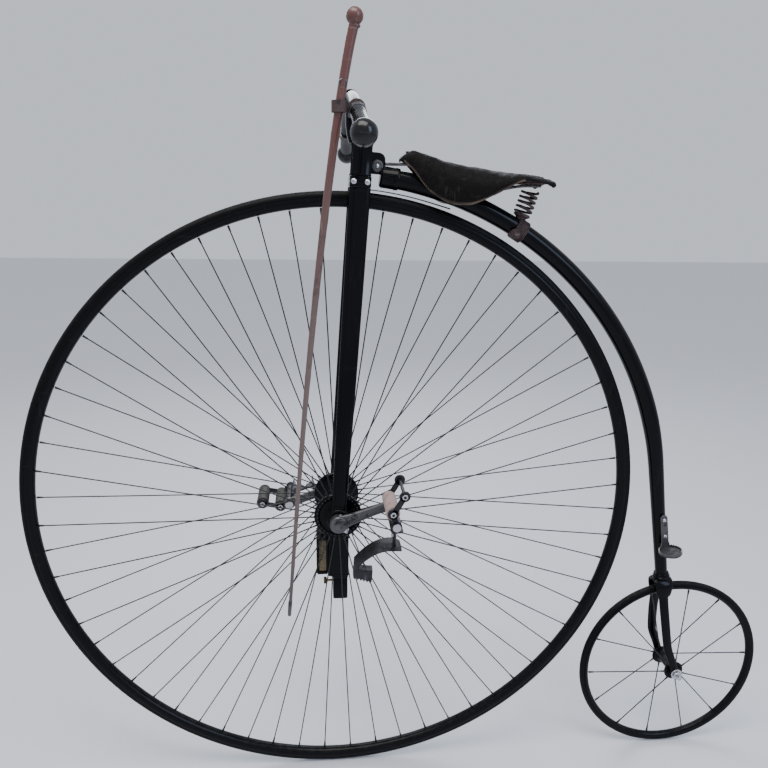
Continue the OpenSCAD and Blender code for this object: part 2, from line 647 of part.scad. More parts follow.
// The cane hangs beside the wheel, outside the pedals' reach
cane_y = pedal_out + pin_end + 12;
cane_top = [-22, bar_z + 86];
cane_foot = [cane_top[0] + 0.115 * cane_l, cane_top[1] - 0.993 * cane_l];
cane_bow = 50;
function cane_at(s) = [
  cane_top[0] + (cane_foot[0] - cane_top[0]) * s + cane_bow * pow(s, 0.7) * pow(1 - s, 1.1),
  cane_y, cane_top[1] + (cane_foot[1] - cane_top[1]) * s];
function cane_d_at(s) = cane_d - (cane_d - 6) * pow(s, 0.75);
module cane() {
  n = 18;
  path = [for (i = [0 : n]) cane_at(i / n)];
  d = [for (i = [0 : n]) cane_d_at(i / n)];
  color("#7c4f43") at_front_hub() union() {
    skin(oval_rings(path, [0, 1, 0], d, d, 16));
    translate([cane_top[0], cane_y, cane_top[1] + cane_ball_d * 0.36]) sphere(d = cane_ball_d, $fn = 48);
  }
}
module cane_clip() {
  ring_y = cane_y - 15;
  bar_p = bar_at(ring_y);
  bar_x = bar_p[0] * cos(rake) - bar_p[2] * sin(rake);
  bar_up = bar_p[2] * cos(rake) + bar_p[0] * sin(rake);
  bar_v = bar_at(ring_y + 2) - bar_at(ring_y - 2);
  s = (cane_top[1] - bar_up) / (cane_top[1] - cane_foot[1]);
  c = cane_at(s);
  v = cane_at(s + 0.01) - cane_at(s - 0.01);
  color("#4a4038") at_front_hub() difference() {
    union() {
      translate([c[0], cane_y, bar_up - 9]) cylinder(h = 18, d = cane_d + 9, $fn = fine);
      translate([bar_x, ring_y - 6, bar_up - 7]) cube([c[0] - bar_x, 12, 14]);
      translate([c[0] - 6, ring_y - 6, bar_up - 7]) cube([12, 15, 14]);
      translate([bar_x, 0, bar_up]) across(bar_d + 9, ring_y - 6, ring_y + 6);
    }
    translate([c[0], cane_y, bar_up]) rotate([0, atan2(v[0], v[2]), 0])
      cylinder(h = 80, d = cane_d_at(s) + 0.8, center = true, $fn = fine);
    translate([bar_x, ring_y, bar_up]) rotate([atan2(bar_v[2], bar_v[1]), 0, 0]) across(bar_d + 0.8, -40, 40);
  }
}

// ---- Cranks and pedals ----
module crank(side, end) {
  y0 = side > 0 ? crank_in : -crank_out;
  arm0 = side > 0 ? crank_in + 3 : -crank_in - 3 - crank_t;
  a = atan2(end[1], end[0]);
  color("#77787c") at_front_hub() difference() {
    union() {
      across(crank_boss_d, y0, y0 + crank_boss_w);
      rotate([0, -a, 0]) slab(arm0, arm0 + crank_t)
        polygon([[0, 15], [26, 13], [crank_l - 24, 9.5], [crank_l, 12], [crank_l, -12], [crank_l - 24, -9.5], [26, -13], [0, -15]]);
      translate([end[0], 0, end[1]]) across(26, arm0, arm0 + crank_t);
    }
    across(front_axle_d + 2 * seat_gap, y0 - 1, y0 + crank_boss_w + 1);
    translate([end[0], 0, end[1]]) across(pedal_pin_d + 2 * seat_gap, arm0 - 1, arm0 + crank_t + 1);
  }
}
module crank_left() { crank(1, left_end); }
module crank_right() { crank(-1, right_end); }
module pedal_pin(side, end) {
  head_y = side * (crank_in + 3 - 3.2);
  nut_y = side * (pedal_out + 3.4);
  color("#8a8c90") at_front_hub() translate([end[0], 0, end[1]]) {
    across(pedal_pin_d, side > 0 ? head_y : -pedal_out - pin_end, side > 0 ? pedal_out + pin_end : head_y);
    across(pedal_pin_d + 8, head_y - 3, head_y + 3);
    across(pedal_pin_d + 9, side * (pedal_in - 3) - 1.6, side * (pedal_in - 3) + 1.6);
    across(pedal_pin_d + 6, nut_y - 3, nut_y + 3);
  }
}
module pedal_pin_left() { pedal_pin(1, left_end); }
module pedal_pin_right() { pedal_pin(-1, right_end); }
// Stands children on a pedal pin, with the pedal's length turned by its tilt
module on_pedal(end, tilt) { at_front_hub() translate([end[0], 0, end[1]]) rotate([0, -tilt, 0]) children(); }
function tread_at(s) = [pedal_lead, pedal_rise + s * pedal_spread];
module pedal_plate(y0) {
  low = tread_at(-1);
  slab(y0, y0 + plate_t) difference() {
    union() {
      translate([pedal_lead - 6, low[1]]) square([12, 2 * pedal_spread]);
      rotate(atan2(low[1], low[0])) translate([0, -6]) square([norm(low), 12]);
      circle(d = pedal_pin_d + 12, $fn = 64);
      for (s = [-1, 1]) translate(tread_at(s)) circle(d = rubber_d - 6, $fn = 64);
    }
    circle(d = pedal_pin_d + 2 * run_gap, $fn = 64);
    for (s = [-1, 1]) translate(tread_at(s)) circle(d = 6, $fn = 32);
  }
}
module pedal(side, end, tilt) {
  color("#55565a") on_pedal(end, tilt) {
    pedal_plate(side > 0 ? pedal_in : -pedal_in - plate_t);
    pedal_plate(side > 0 ? pedal_out - plate_t : -pedal_out);
    across_tube(pedal_pin_d + 6, pedal_pin_d + 2 * run_gap,
                side > 0 ? pedal_in + 1 : -pedal_out + 1, side > 0 ? pedal_out - 1 : -pedal_in - 1);
    for (s = [-1, 1]) translate([tread_at(s)[0], 0, tread_at(s)[1]])
      across(6.4, side > 0 ? pedal_in - 2 : -pedal_out - 2, side > 0 ? pedal_out + 2 : -pedal_in + 2);
  }
}
module pedal_left() { pedal(1, left_end, left_pedal_tilt); }
module pedal_right() { pedal(-1, right_end, right_pedal_tilt); }
module rubber(side, s) {
  y0 = side > 0 ? pedal_in + plate_t + seat_gap : -pedal_out + plate_t + seat_gap;
  color("#b9a39d") translate([tread_at(s)[0], 0, tread_at(s)[1]]) across_tube(rubber_d, 6.4 + 2 * seat_gap, y0, y0 + pedal_l - 2 * plate_t - 2 * seat_gap);
}
// The left pedal has lost its upper rubber
module pedal_rubber_left() { on_pedal(left_end, left_pedal_tilt) rubber(1, -1); }
module pedal_rubber_right() { on_pedal(right_end, right_pedal_tilt) for (s = [-1, 1]) rubber(-1, s); }
// A toe clip: a bracket under the pedal's end plates, a broad bowed plate,
// and a toothed wedge at the plate's front end
module toe_clip(side, end, tilt) {
  mid_y = side * (pedal_in + pedal_out) / 2;
  low = -pedal_pin_d / 2 - 6 - seat_gap;
  color("#5f6064") on_pedal(end, tilt) translate([0, mid_y, 0]) {
    rotate([0, clip_turn, 0]) {
      translate([-2, 0, low - 1.5]) cube([24, pedal_l, 3], center = true);
      translate([-1, 0, (low + bow_at(0.16)[1]) / 2]) cube([5, 26, low - bow_at(0.16)[1]], center = true);
      for (z = [low - 12, low - 28]) translate([-6, 0, z]) rotate([0, 90, 0]) cylinder(h = 10, d = 10, $fn = 48);
      strip([for (k = [0 : 14]) bow_at(k / 14)], 58, 3);
      slab(-11, 11) polygon([bow_at(1) + [1, 1], bow_at(1) + [3, -26], bow_at(1) + [-34, -38], bow_at(1) + [-36, -12],
                             bow_at(1) + [-5, -8], bow_at(1) + [-3, 2]]);
    }
  }
}
clip_turn = 31;
function bow_at(u) = [-14 + 92 * u, -61 + 34 * u - 70 * u * u];
module toe_clip_left() { toe_clip(1, left_end, left_pedal_tilt); }
module toe_clip_right() { toe_clip(-1, right_end, right_pedal_tilt); }

// ---- Hub lamp ----
lamp_top = -front_flange_d / 2 - 8;
lamp_x0 = -lamp_l / 2 - 2;
module lamp_body() {
  color("#1b1b1e") at_front_hub() {
    difference() {
      translate([lamp_x0, -lamp_w / 2, lamp_top - lamp_h]) cube([lamp_l, lamp_w, lamp_h]);
      translate([lamp_x0 + lamp_l - 14, -lamp_w / 2 + 6, lamp_top - lamp_h + 10]) cube([20, lamp_w - 12, lamp_h - 20]);
    }
    translate([lamp_x0 + 2, -lamp_w / 2 + 6, lamp_top - lamp_h - tank_h]) cube([lamp_l - 12, lamp_w - 12, tank_h + 1]);
    translate([lamp_x0 + lamp_l - 11, 0, lamp_top - lamp_h - tank_h * 0.45]) rotate([0, 90, 0]) cylinder(h = 16, d = 5, $fn = 32);
    translate([lamp_x0 + lamp_l + 4, 0, lamp_top - lamp_h - tank_h * 0.45]) rotate([0, 90, 0]) cylinder(h = 8, d = 15, $fn = 48);
  }
}
hood_l = 26;
hood_wall = 3;
module lamp_hood() {
  x0 = lamp_x0 + lamp_l + seat_gap;
  color("#1b1b1e") at_front_hub() translate([x0, 0, lamp_top - lamp_h / 2 - 2]) difference() {
    translate([0, -lamp_w / 2 + 4, -lamp_h / 2 + 8]) cube([hood_l, lamp_w - 8, lamp_h - 16]);
    translate([-1, -lamp_w / 2 + 4 + hood_wall, -lamp_h / 2 + 8 + hood_wall])
      cube([hood_l + 2, lamp_w - 8 - 2 * hood_wall, lamp_h - 16 - 2 * hood_wall]);
    translate([5, -lamp_w, -lamp_h / 2 + 16]) cube([hood_l - 10, 2 * lamp_w, lamp_h - 32]);
  }
}
module lamp_glass() {
  x0 = lamp_x0 + lamp_l + seat_gap;
  in_w = lamp_w - 8 - 2 * hood_wall - 2 * seat_gap;
  in_h = lamp_h - 16 - 2 * hood_wall - 2 * seat_gap;
  color("#b58a3c") at_front_hub() translate([x0, 0, lamp_top - lamp_h / 2 - 2]) difference() {
    translate([1, -in_w / 2, -in_h / 2]) cube([hood_l - 3, in_w, in_h]);
    translate([-1, -in_w / 2 + 3, -in_h / 2 + 3]) cube([hood_l - 4, in_w - 6, in_h - 6]);
  }
}
module lamp_hanger() {
  ring_d = front_barrel_d + 2 * run_gap;
  color("#1b1b1e") at_front_hub() for (y = [-20, 20]) {
    across_tube(ring_d + 10, ring_d, y - 6, y + 6);
    translate([-4, y - 6, lamp_top + seat_gap]) cube([8, 12, -lamp_top - seat_gap - ring_d / 2 - 2]);
    translate([-10, y - 6, lamp_top + seat_gap]) cube([20, 12, 4]);
  }
}

placed() backbone();
placed() neck();
placed() rear_fork();
placed() rear_axle();
placed() step();
placed() saddle_leather();
placed() saddle_leaf_spring();
placed() saddle_rear_plate();
placed() saddle_coil_spring();
placed() saddle_clamp();
placed() saddle_bolt();
placed() steering_head();
placed() head_bolt();
placed() fork_crown();
placed() fork_blade_left();
placed() fork_blade_right();
placed() bearing_left();
placed() bearing_right();
placed() handlebar();
placed() grip_left();
placed() grip_right();
placed() tyre_guard();
placed() cane();
placed() cane_clip();
placed() front_tyre();
placed() front_rim();
placed() front_spokes_left();
placed() front_spokes_right();
placed() front_hub();
placed() front_axle();
placed() crank_left();
placed() crank_right();
placed() pedal_pin_left();
placed() pedal_pin_right();
placed() pedal_left();
placed() pedal_right();
placed() pedal_rubber_left();
placed() pedal_rubber_right();
placed() toe_clip_left();
placed() toe_clip_right();
placed() rear_tyre();
placed() rear_rim();
placed() rear_spokes();
placed() rear_hub();
placed() lamp_body();
placed() lamp_hood();
placed() lamp_glass();
placed() lamp_hanger();
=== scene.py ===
# %% [markdown]
# # A high-wheel bicycle
# The rider sits almost over the axle of a very tall front wheel and turns it with cranks on its own hub.
# A curved backbone runs behind that wheel to a small rear wheel. This lesson builds the bicycle's look
# around a finished mechanical model: the model gives every place and size, and each cell adds one real piece.

# %% Load the mechanical model
import json
import math

import bmesh
import bpy
from mathutils import Matrix, Vector


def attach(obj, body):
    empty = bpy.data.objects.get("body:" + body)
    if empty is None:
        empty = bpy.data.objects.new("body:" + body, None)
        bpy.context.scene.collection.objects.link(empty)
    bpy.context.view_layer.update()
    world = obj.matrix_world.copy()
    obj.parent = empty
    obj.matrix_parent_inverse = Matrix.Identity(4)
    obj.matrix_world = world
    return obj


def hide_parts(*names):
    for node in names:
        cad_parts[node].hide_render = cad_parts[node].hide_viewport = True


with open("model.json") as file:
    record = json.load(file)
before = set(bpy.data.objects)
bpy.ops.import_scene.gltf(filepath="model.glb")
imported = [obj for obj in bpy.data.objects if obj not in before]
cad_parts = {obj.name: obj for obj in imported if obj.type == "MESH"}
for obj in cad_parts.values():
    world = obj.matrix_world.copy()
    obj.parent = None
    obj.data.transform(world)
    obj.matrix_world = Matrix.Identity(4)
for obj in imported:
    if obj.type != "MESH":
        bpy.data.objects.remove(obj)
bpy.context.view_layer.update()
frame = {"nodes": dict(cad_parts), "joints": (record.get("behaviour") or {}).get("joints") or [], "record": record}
nodes = frame["nodes"]

# %% [markdown]
# ## Where things are
# Builders of these machines measured from the wheel's hub. The joints of the model tell where both hubs and both
# pedal pins are, so all sizes here are millimetres from the ground below the front hub, and one function turns
# them into the model's metres.

# %% Hubs, pedals and the ground
joint_at = {joint["name"]: Vector(joint["pos_m"]) for joint in frame["joints"]}
joint_axis = {joint["name"]: Vector(joint["axis"]) for joint in frame["joints"]}
MM = 0.001
FRONT_R = 660.0
REAR_R = 220.0
ground_zero = joint_at["front_wheel_spin"] - Vector((0, 0, FRONT_R * MM))
REAR_X = (joint_at["rear_wheel_spin"] - ground_zero).x / MM
steer = joint_axis["steering_turn"]
LEAN = math.atan2(-steer.x, steer.z)


def from_ground(x, y, z):
    return ground_zero + Vector((x, y, z)) * MM


def leaning(x, y, z):
    """A place measured along the leaning steering axis, from the front hub."""
    return from_ground(x * math.cos(LEAN) - z * math.sin(LEAN), y,
                       FRONT_R + x * math.sin(LEAN) + z * math.cos(LEAN))


def from_front_hub(x, y, z):
    return from_ground(x, y, FRONT_R + z)


def from_rear_hub(x, y, z):
    return from_ground(REAR_X + x, y, REAR_R + z)


print("rear hub", round(REAR_X), "mm behind the front hub; steering leans", round(math.degrees(LEAN), 1), "degrees")

# %% [markdown]
# ## Camera
# A camera is a place, a direction and a lens. The direction is given as a vector and a small roll, and the matrix
# columns of a camera are its right side, its up and its back.

# %% Camera
EYE = from_ground(46.7, 1456.0, 1309.5)
LOOK = Vector((-0.0962, -0.9630, -0.2517)).normalized()
ROLL = math.radians(0.852)
LENS_MM = 33.75
level_right = LOOK.cross(Vector((0, 0, 1))).normalized()
level_up = level_right.cross(LOOK)
cam_right = level_right * math.cos(ROLL) + level_up * math.sin(ROLL)
cam_up = level_up * math.cos(ROLL) - level_right * math.sin(ROLL)
camera = bpy.data.objects.new("camera", bpy.data.cameras.new("camera"))
camera.data.lens = LENS_MM
camera.data.sensor_width = 36.0
camera.data.clip_start = 0.05
camera.matrix_world = Matrix((
    (cam_right.x, cam_up.x, -LOOK.x, EYE.x), (cam_right.y, cam_up.y, -LOOK.y, EYE.y),
    (cam_right.z, cam_up.z, -LOOK.z, EYE.z), (0, 0, 0, 1)))
bpy.context.scene.collection.objects.link(camera)
bpy.context.scene.camera = camera

# %% [markdown]
# ## Floor and light
# Black enamel shows nothing but reflections, so the lamps are wide and soft: each one draws a clean stripe along
# the tubes. The world is a cool pale grey, as in a white room.

# %% Floor, world and lamps
floor_mesh = bpy.data.meshes.new("floor")
floor_z = ground_zero.z - 0.0005
floor_mesh.from_pydata([(-14, -14, floor_z), (14, -14, floor_z), (14, 14, floor_z), (-14, 14, floor_z)], [],
                       [(0, 1, 2, 3)])
floor = bpy.data.objects.new("floor", floor_mesh)
bpy.context.scene.collection.objects.link(floor)
floor_paint = bpy.data.materials.new("floor_paint")
floor_paint.use_nodes = True
floor_paint.node_tree.nodes["Principled BSDF"].inputs["Base Color"].default_value = (0.72, 0.72, 0.74, 1)
floor_paint.node_tree.nodes["Principled BSDF"].inputs["Roughness"].default_value = 0.55
floor_mesh.materials.append(floor_paint)

world = bpy.data.worlds.new("room")
world.use_nodes = True
world.node_tree.nodes["Background"].inputs["Color"].default_value = (0.72, 0.76, 0.84, 1)
world.node_tree.nodes["Background"].inputs["Strength"].default_value = 0.95
bpy.context.scene.world = world


def soft_lamp(name, place, target, size, power, tint):
    lamp = bpy.data.lights.new(name, "AREA")
    lamp.shape = "RECTANGLE"
    lamp.size, lamp.size_y = size
    lamp.energy = power
    lamp.color = tint
    holder = bpy.data.objects.new(name, lamp)
    holder.location = place
    holder.rotation_euler = (Vector(target) - Vector(place)).to_track_quat("-Z", "Y").to_euler()
    bpy.context.scene.collection.objects.link(holder)


soft_lamp("window", (-2.3, 2.6, 1.5), (0, 0, -0.5), (1.2, 2.4), 60, (0.55, 0.7, 1.0))
soft_lamp("ceiling", (0.6, 0.9, 2.2), (0.1, 0, -0.6), (2.4, 1.4), 75, (1.0, 0.97, 0.93))
soft_lamp("back", (0.3, -2.6, 1.3), (0, 0, -0.5), (2.4, 1.2), 40, (0.9, 0.95, 1.0))

# %% [markdown]
# ## Shared wear
# Old machines wear in the same few ways: small scratches, patches where the finish has gone, dust on top, rust.
# Each is a node group that reads the object's own coordinates in metres, so its size is real on every piece.
# The groups give masks and heights only; each material mixes its own colours with them.

# %% A helper that starts a node group


def new_group(name, inputs, outputs):
    group = bpy.data.node_groups.new(name, "ShaderNodeTree")
    for label, value in inputs:
        socket = group.interface.new_socket(label, in_out="INPUT", socket_type="NodeSocketFloat")
        socket.default_value = value
    for label in outputs:
        group.interface.new_socket(label, in_out="OUTPUT", socket_type="NodeSocketFloat")
    return group, group.nodes.new("NodeGroupInput"), group.nodes.new("NodeGroupOutput")


def noise_in(tree, scale, detail, stretch=(1, 1, 1), offset=0.0):
    """Noise over the object's coordinates, stretched along an axis where asked."""
    place = tree.nodes.new("ShaderNodeTexCoord")
    turn = tree.nodes.new("ShaderNodeMapping")
    turn.inputs["Scale"].default_value = stretch
    turn.inputs["Location"].default_value = (offset, offset * 0.7, offset * 1.3)
    noise = tree.nodes.new("ShaderNodeTexNoise")
    noise.inputs["Detail"].default_value = detail
    noise.inputs["Roughness"].default_value = 0.6
    tree.links.new(place.outputs["Object"], turn.inputs["Vector"])
    tree.links.new(turn.outputs["Vector"], noise.inputs["Vector"])
    if isinstance(scale, (int, float)):
        noise.inputs["Scale"].default_value = scale
    else:
        tree.links.new(scale, noise.inputs["Scale"])
    return noise


def ramp_in(tree, value, low, high):
    """Spreads a value between low and high over 0 to 1; low and high may be sockets."""
    spread = tree.nodes.new("ShaderNodeMapRange")
    spread.interpolation_type = "SMOOTHSTEP"
    tree.links.new(value, spread.inputs["Value"])
    for label, edge in (("From Min", low), ("From Max", high)):
        if isinstance(edge, (int, float)):
            spread.inputs[label].default_value = edge
        else:
            tree.links.new(edge, spread.inputs[label])
    return spread.outputs["Result"]


def maths(tree, kind, first, second, clamp=True):
    """A sum kept between 0 and 1, except where it subtracts or clamp is off."""
    node = tree.nodes.new("ShaderNodeMath")
    node.operation = kind
    node.use_clamp = clamp and kind != "SUBTRACT"
    for socket, value in zip(node.inputs, (first, second)):
        if isinstance(value, (int, float)):
            socket.default_value = value
        else:
            tree.links.new(value, socket)
    return node.outputs[0]


# %% Worn patches: a mask where the finish has gone
patches, patches_in, patches_out = new_group("worn_patches", [("Scale", 40.0), ("Cover", 0.3)], ["Mask", "Height"])
broad = noise_in(patches, patches_in.outputs["Scale"], 6.0)
fine = noise_in(patches, 420.0, 3.0, offset=3.0)
mixed = maths(patches, "ADD", maths(patches, "MULTIPLY", broad.outputs["Fac"], 0.8),
              maths(patches, "MULTIPLY", fine.outputs["Fac"], 0.2))
edge = maths(patches, "SUBTRACT", 0.78, maths(patches, "MULTIPLY", patches_in.outputs["Cover"], 0.5))
patch_mask = ramp_in(patches, mixed, edge, maths(patches, "ADD", edge, 0.07))
patches.links.new(patch_mask, patches_out.inputs["Mask"])
patches.links.new(mixed, patches_out.inputs["Height"])

# %% Scratches: thin bright cells stretched along two directions
scratches, scratches_in, scratches_out = new_group("fine_scratches", [("Scale", 60.0), ("Depth", 0.5)],
                                                   ["Mask", "Height"])
scratch_masks = []
for stretch, offset in (((1.0, 1.0, 0.12), 0.0), ((0.15, 1.0, 1.0), 5.0)):
    streak = noise_in(scratches, scratches_in.outputs["Scale"], 9.0, stretch, offset)
    scratch_masks.append(ramp_in(scratches, streak.outputs["Fac"], 0.61, 0.7))
scratch_sum = maths(scratches, "MAXIMUM", scratch_masks[0], scratch_masks[1])
scratches.links.new(maths(scratches, "MULTIPLY", scratch_sum, scratches_in.outputs["Depth"]),
                    scratches_out.inputs["Mask"])
scratches.links.new(maths(scratches, "SUBTRACT", 1.0, scratch_sum), scratches_out.inputs["Height"])

# %% Dust: it lies where a surface faces up
dust, dust_in, dust_out = new_group("settled_dust", [("Amount", 0.3)], ["Mask"])
facing = dust.nodes.new("ShaderNodeNewGeometry")
split = dust.nodes.new("ShaderNodeSeparateXYZ")
dust.links.new(facing.outputs["Normal"], split.inputs["Vector"])
up_facing = ramp_in(dust, split.outputs["Z"], 0.15, 1.0)
speckle = ramp_in(dust, noise_in(dust, 90.0, 6.0).outputs["Fac"], 0.3, 0.75)
dust_mask = maths(dust, "MULTIPLY", maths(dust, "MULTIPLY", up_facing, speckle), dust_in.outputs["Amount"])
dust.links.new(dust_mask, dust_out.inputs["Mask"])

# %% Grain: the fine unevenness of leather, horn and cast iron
grain, grain_in, grain_out = new_group("fine_grain", [("Scale", 500.0)], ["Height"])
grain_place = grain.nodes.new("ShaderNodeTexCoord")
cells = grain.nodes.new("ShaderNodeTexVoronoi")
cells.feature = "DISTANCE_TO_EDGE"
grain.links.new(grain_place.outputs["Object"], cells.inputs["Vector"])
grain.links.new(grain_in.outputs["Scale"], cells.inputs["Scale"])
creases = ramp_in(grain, cells.outputs["Distance"], 0.0, 0.16)
bumpy = noise_in(grain, 260.0, 8.0, offset=2.0)
grain.links.new(maths(grain, "ADD", maths(grain, "MULTIPLY", creases, 0.5),
                      maths(grain, "MULTIPLY", bumpy.outputs["Fac"], 0.5)), grain_out.inputs["Height"])
print("wear groups:", [group.name for group in (patches, scratches, dust, grain)])

# %% [markdown]
# ## Finishes
# A finish starts as one Principled shader. Each layer then mixes a colour and a roughness over what is below it,
# through a mask from one of the groups: bare metal under the enamel, rust on the iron, dust over everything.

# %% The finish builder
DUST_COLOUR, DUST_ROUGHNESS = (0.42, 0.4, 0.38), 0.8
COAT_ROUGHNESS = 0.08


class Finish:
    """A material whose colour and roughness are built up in layers."""

    def __init__(self, name, colour, roughness, metallic=0.0, coat=0.0, specular=0.5):
        self.material = bpy.data.materials.new(name)
        self.material.use_nodes = True
        self.tree = self.material.node_tree
        self.shader = self.tree.nodes["Principled BSDF"]
        self.shader.inputs["Metallic"].default_value = metallic
        self.shader.inputs["Coat Weight"].default_value = coat
        self.shader.inputs["Coat Roughness"].default_value = COAT_ROUGHNESS
        self.shader.inputs["Specular IOR Level"].default_value = specular
        self.colour, self.roughness = colour, roughness
        self.shader.inputs["Base Color"].default_value = (*colour, 1)
        self.shader.inputs["Roughness"].default_value = roughness
        self.colour_socket = None
        self.rough_socket = None

    def group(self, group, **values):
        node = self.tree.nodes.new("ShaderNodeGroup")
        node.node_tree = group
        for label, value in values.items():
            node.inputs[label].default_value = value
        return node

    def layer(self, mask, colour, roughness):
        mix = self.tree.nodes.new("ShaderNodeMix")
        mix.data_type = "RGBA"
        self.tree.links.new(mask, mix.inputs["Factor"])
        if self.colour_socket:
            self.tree.links.new(self.colour_socket, mix.inputs["A"])
        else:
            mix.inputs["A"].default_value = (*self.colour, 1)
        mix.inputs["B"].default_value = (*colour, 1)
        self.colour_socket = mix.outputs["Result"]
        self.tree.links.new(self.colour_socket, self.shader.inputs["Base Color"])
        rough = self.tree.nodes.new("ShaderNodeMix")
        self.tree.links.new(mask, rough.inputs["Factor"])
        if self.rough_socket:
            self.tree.links.new(self.rough_socket, rough.inputs["A"])
        else:
            rough.inputs["A"].default_value = self.roughness
        rough.inputs["B"].default_value = roughness
        self.rough_socket = rough.outputs["Result"]
        self.tree.links.new(self.rough_socket, self.shader.inputs["Roughness"])
        return self

    def worn(self, scale, cover, colour, roughness):
        return self.layer(self.group(patches, Scale=scale, Cover=cover).outputs["Mask"], colour, roughness)

    def scratched(self, scale, depth, colour, roughness):
        return self.layer(self.group(scratches, Scale=scale, Depth=depth).outputs["Mask"], colour, roughness)

    def dusty(self, amount):
        return self.layer(self.group(dust, Amount=amount).outputs["Mask"], DUST_COLOUR, DUST_ROUGHNESS)

    def relief(self, group, strength, depth, **values):
        """Raises the surface by a group's height, up to a depth in metres."""
        bump = self.tree.nodes.new("ShaderNodeBump")
        bump.inputs["Strength"].default_value = strength
        bump.inputs["Distance"].default_value = depth
        self.tree.links.new(self.group(group, **values).outputs["Height"], bump.inputs["Height"])
        self.tree.links.new(bump.outputs["Normal"], self.shader.inputs["Normal"])
        return self


# %% [markdown]
# ## Enamel and steel
# The frame is stove enamel: nearly black, glossy, with hair scratches and a little dust. The cranks and the step
# are old plated steel gone dull grey, pedals and toe plates are darker iron. Pins and nuts stay brighter, because
# hands and spanners polish them.

# %% Enamel and steel
enamel = (Finish("black_enamel", (0.0022, 0.0024, 0.0032), 0.14, coat=0.04, specular=0.1)
          .worn(34.0, 0.16, (0.006, 0.0055, 0.006), 0.34)
          .scratched(70.0, 0.18, (0.016, 0.016, 0.019), 0.32)
          .dusty(0.03)
          .relief(patches, 0.12, 0.0004, Scale=60.0))
rim_enamel = (Finish("rim_enamel", (0.0025, 0.0028, 0.0036), 0.22, coat=0.03, specular=0.1)
              .worn(60.0, 0.28, (0.007, 0.0065, 0.007), 0.42)
              .scratched(110.0, 0.26, (0.018, 0.018, 0.02), 0.4)
              .dusty(0.03)
              .relief(patches, 0.15, 0.0004, Scale=90.0))
dull_steel = (Finish("dull_steel", (0.105, 0.1, 0.105), 0.4, metallic=0.85)
              .worn(48.0, 0.5, (0.045, 0.04, 0.042), 0.58)
              .worn(150.0, 0.2, (0.1, 0.055, 0.035), 0.8)
              .scratched(90.0, 0.45, (0.26, 0.26, 0.27), 0.3)
              .dusty(0.08)
              .relief(patches, 0.3, 0.0005, Scale=120.0))
bright_steel = (Finish("bright_steel", (0.5, 0.5, 0.52), 0.24, metallic=1.0)
                .worn(120.0, 0.3, (0.2, 0.17, 0.15), 0.5)
                .scratched(140.0, 0.5, (0.7, 0.7, 0.7), 0.35)
                .relief(patches, 0.2, 0.0003, Scale=160.0))
dark_iron = (Finish("dark_iron", (0.028, 0.027, 0.031), 0.4, metallic=0.7)
             .worn(52.0, 0.5, (0.014, 0.013, 0.015), 0.55)
             .worn(140.0, 0.22, (0.05, 0.032, 0.025), 0.75)
             .scratched(85.0, 0.5, (0.13, 0.13, 0.14), 0.32)
             .dusty(0.06)
             .relief(patches, 0.3, 0.0005, Scale=110.0))
spoke_steel = (Finish("spoke_steel", (0.012, 0.012, 0.014), 0.36, metallic=0.5)
               .worn(90.0, 0.35, (0.04, 0.032, 0.028), 0.6)
               .dusty(0.08)
               .relief(patches, 0.15, 0.0002, Scale=200.0))

# %% [markdown]
# ## Rust, rubber, horn and brass
# The saddle's coil spring and clamp are bare iron under a brown bloom of rust with a violet cast. One pedal rubber
# has dried to a dusty pink; the others are nearly black. The grips are polished dark horn.

# %% Rust, rubber, horn and brass
rusty_iron = (Finish("rusty_iron", (0.07, 0.044, 0.042), 0.7, metallic=0.3)
              .worn(55.0, 0.55, (0.03, 0.02, 0.022), 0.8)
              .worn(170.0, 0.35, (0.15, 0.075, 0.045), 0.88)
              .scratched(120.0, 0.35, (0.2, 0.18, 0.17), 0.5)
              .relief(grain, 0.5, 0.0006, Scale=420.0))
tyre_rubber = (Finish("tyre_rubber", (0.003, 0.003, 0.0034), 0.45, specular=0.1)
               .worn(70.0, 0.4, (0.0065, 0.006, 0.006), 0.65)
               .scratched(80.0, 0.3, (0.016, 0.015, 0.015), 0.75)
               .dusty(0.04)
               .relief(grain, 0.25, 0.0004, Scale=300.0))
pale_rubber = (Finish("pale_rubber", (0.4, 0.3, 0.275), 0.78, specular=0.25)
               .worn(60.0, 0.5, (0.29, 0.21, 0.19), 0.85)
               .worn(190.0, 0.25, (0.11, 0.08, 0.07), 0.9)
               .scratched(100.0, 0.5, (0.52, 0.43, 0.4), 0.85)
               .relief(grain, 0.5, 0.0006, Scale=380.0))
dark_rubber = (Finish("dark_rubber", (0.03, 0.027, 0.026), 0.62, specular=0.35)
               .worn(80.0, 0.4, (0.08, 0.068, 0.062), 0.8)
               .dusty(0.3)
               .relief(grain, 0.4, 0.0005, Scale=380.0))
horn = (Finish("polished_horn", (0.004, 0.004, 0.005), 0.2, coat=0.12, specular=0.28)
        .worn(45.0, 0.35, (0.012, 0.011, 0.0115), 0.38)
        .scratched(95.0, 0.35, (0.035, 0.034, 0.034), 0.45)
        .relief(grain, 0.15, 0.0003, Scale=240.0))
brass = (Finish("tarnished_brass", (0.2, 0.135, 0.05), 0.42, metallic=0.9)
         .worn(70.0, 0.55, (0.05, 0.035, 0.02), 0.7)
         .scratched(120.0, 0.5, (0.5, 0.36, 0.16), 0.35)
         .relief(patches, 0.25, 0.0004, Scale=140.0))

# %% [markdown]
# ## Amber glass
# The lamp's front is a thick amber pane. Glass keeps a plain metallic and transmission, and only its colour is
# clouded a little by soot.

# %% Amber glass
amber = Finish("amber_glass", (0.24, 0.17, 0.06), 0.1).worn(40.0, 0.6, (0.08, 0.055, 0.025), 0.3)
amber.shader.inputs["Transmission Weight"].default_value = 0.55
amber.shader.inputs["IOR"].default_value = 1.5

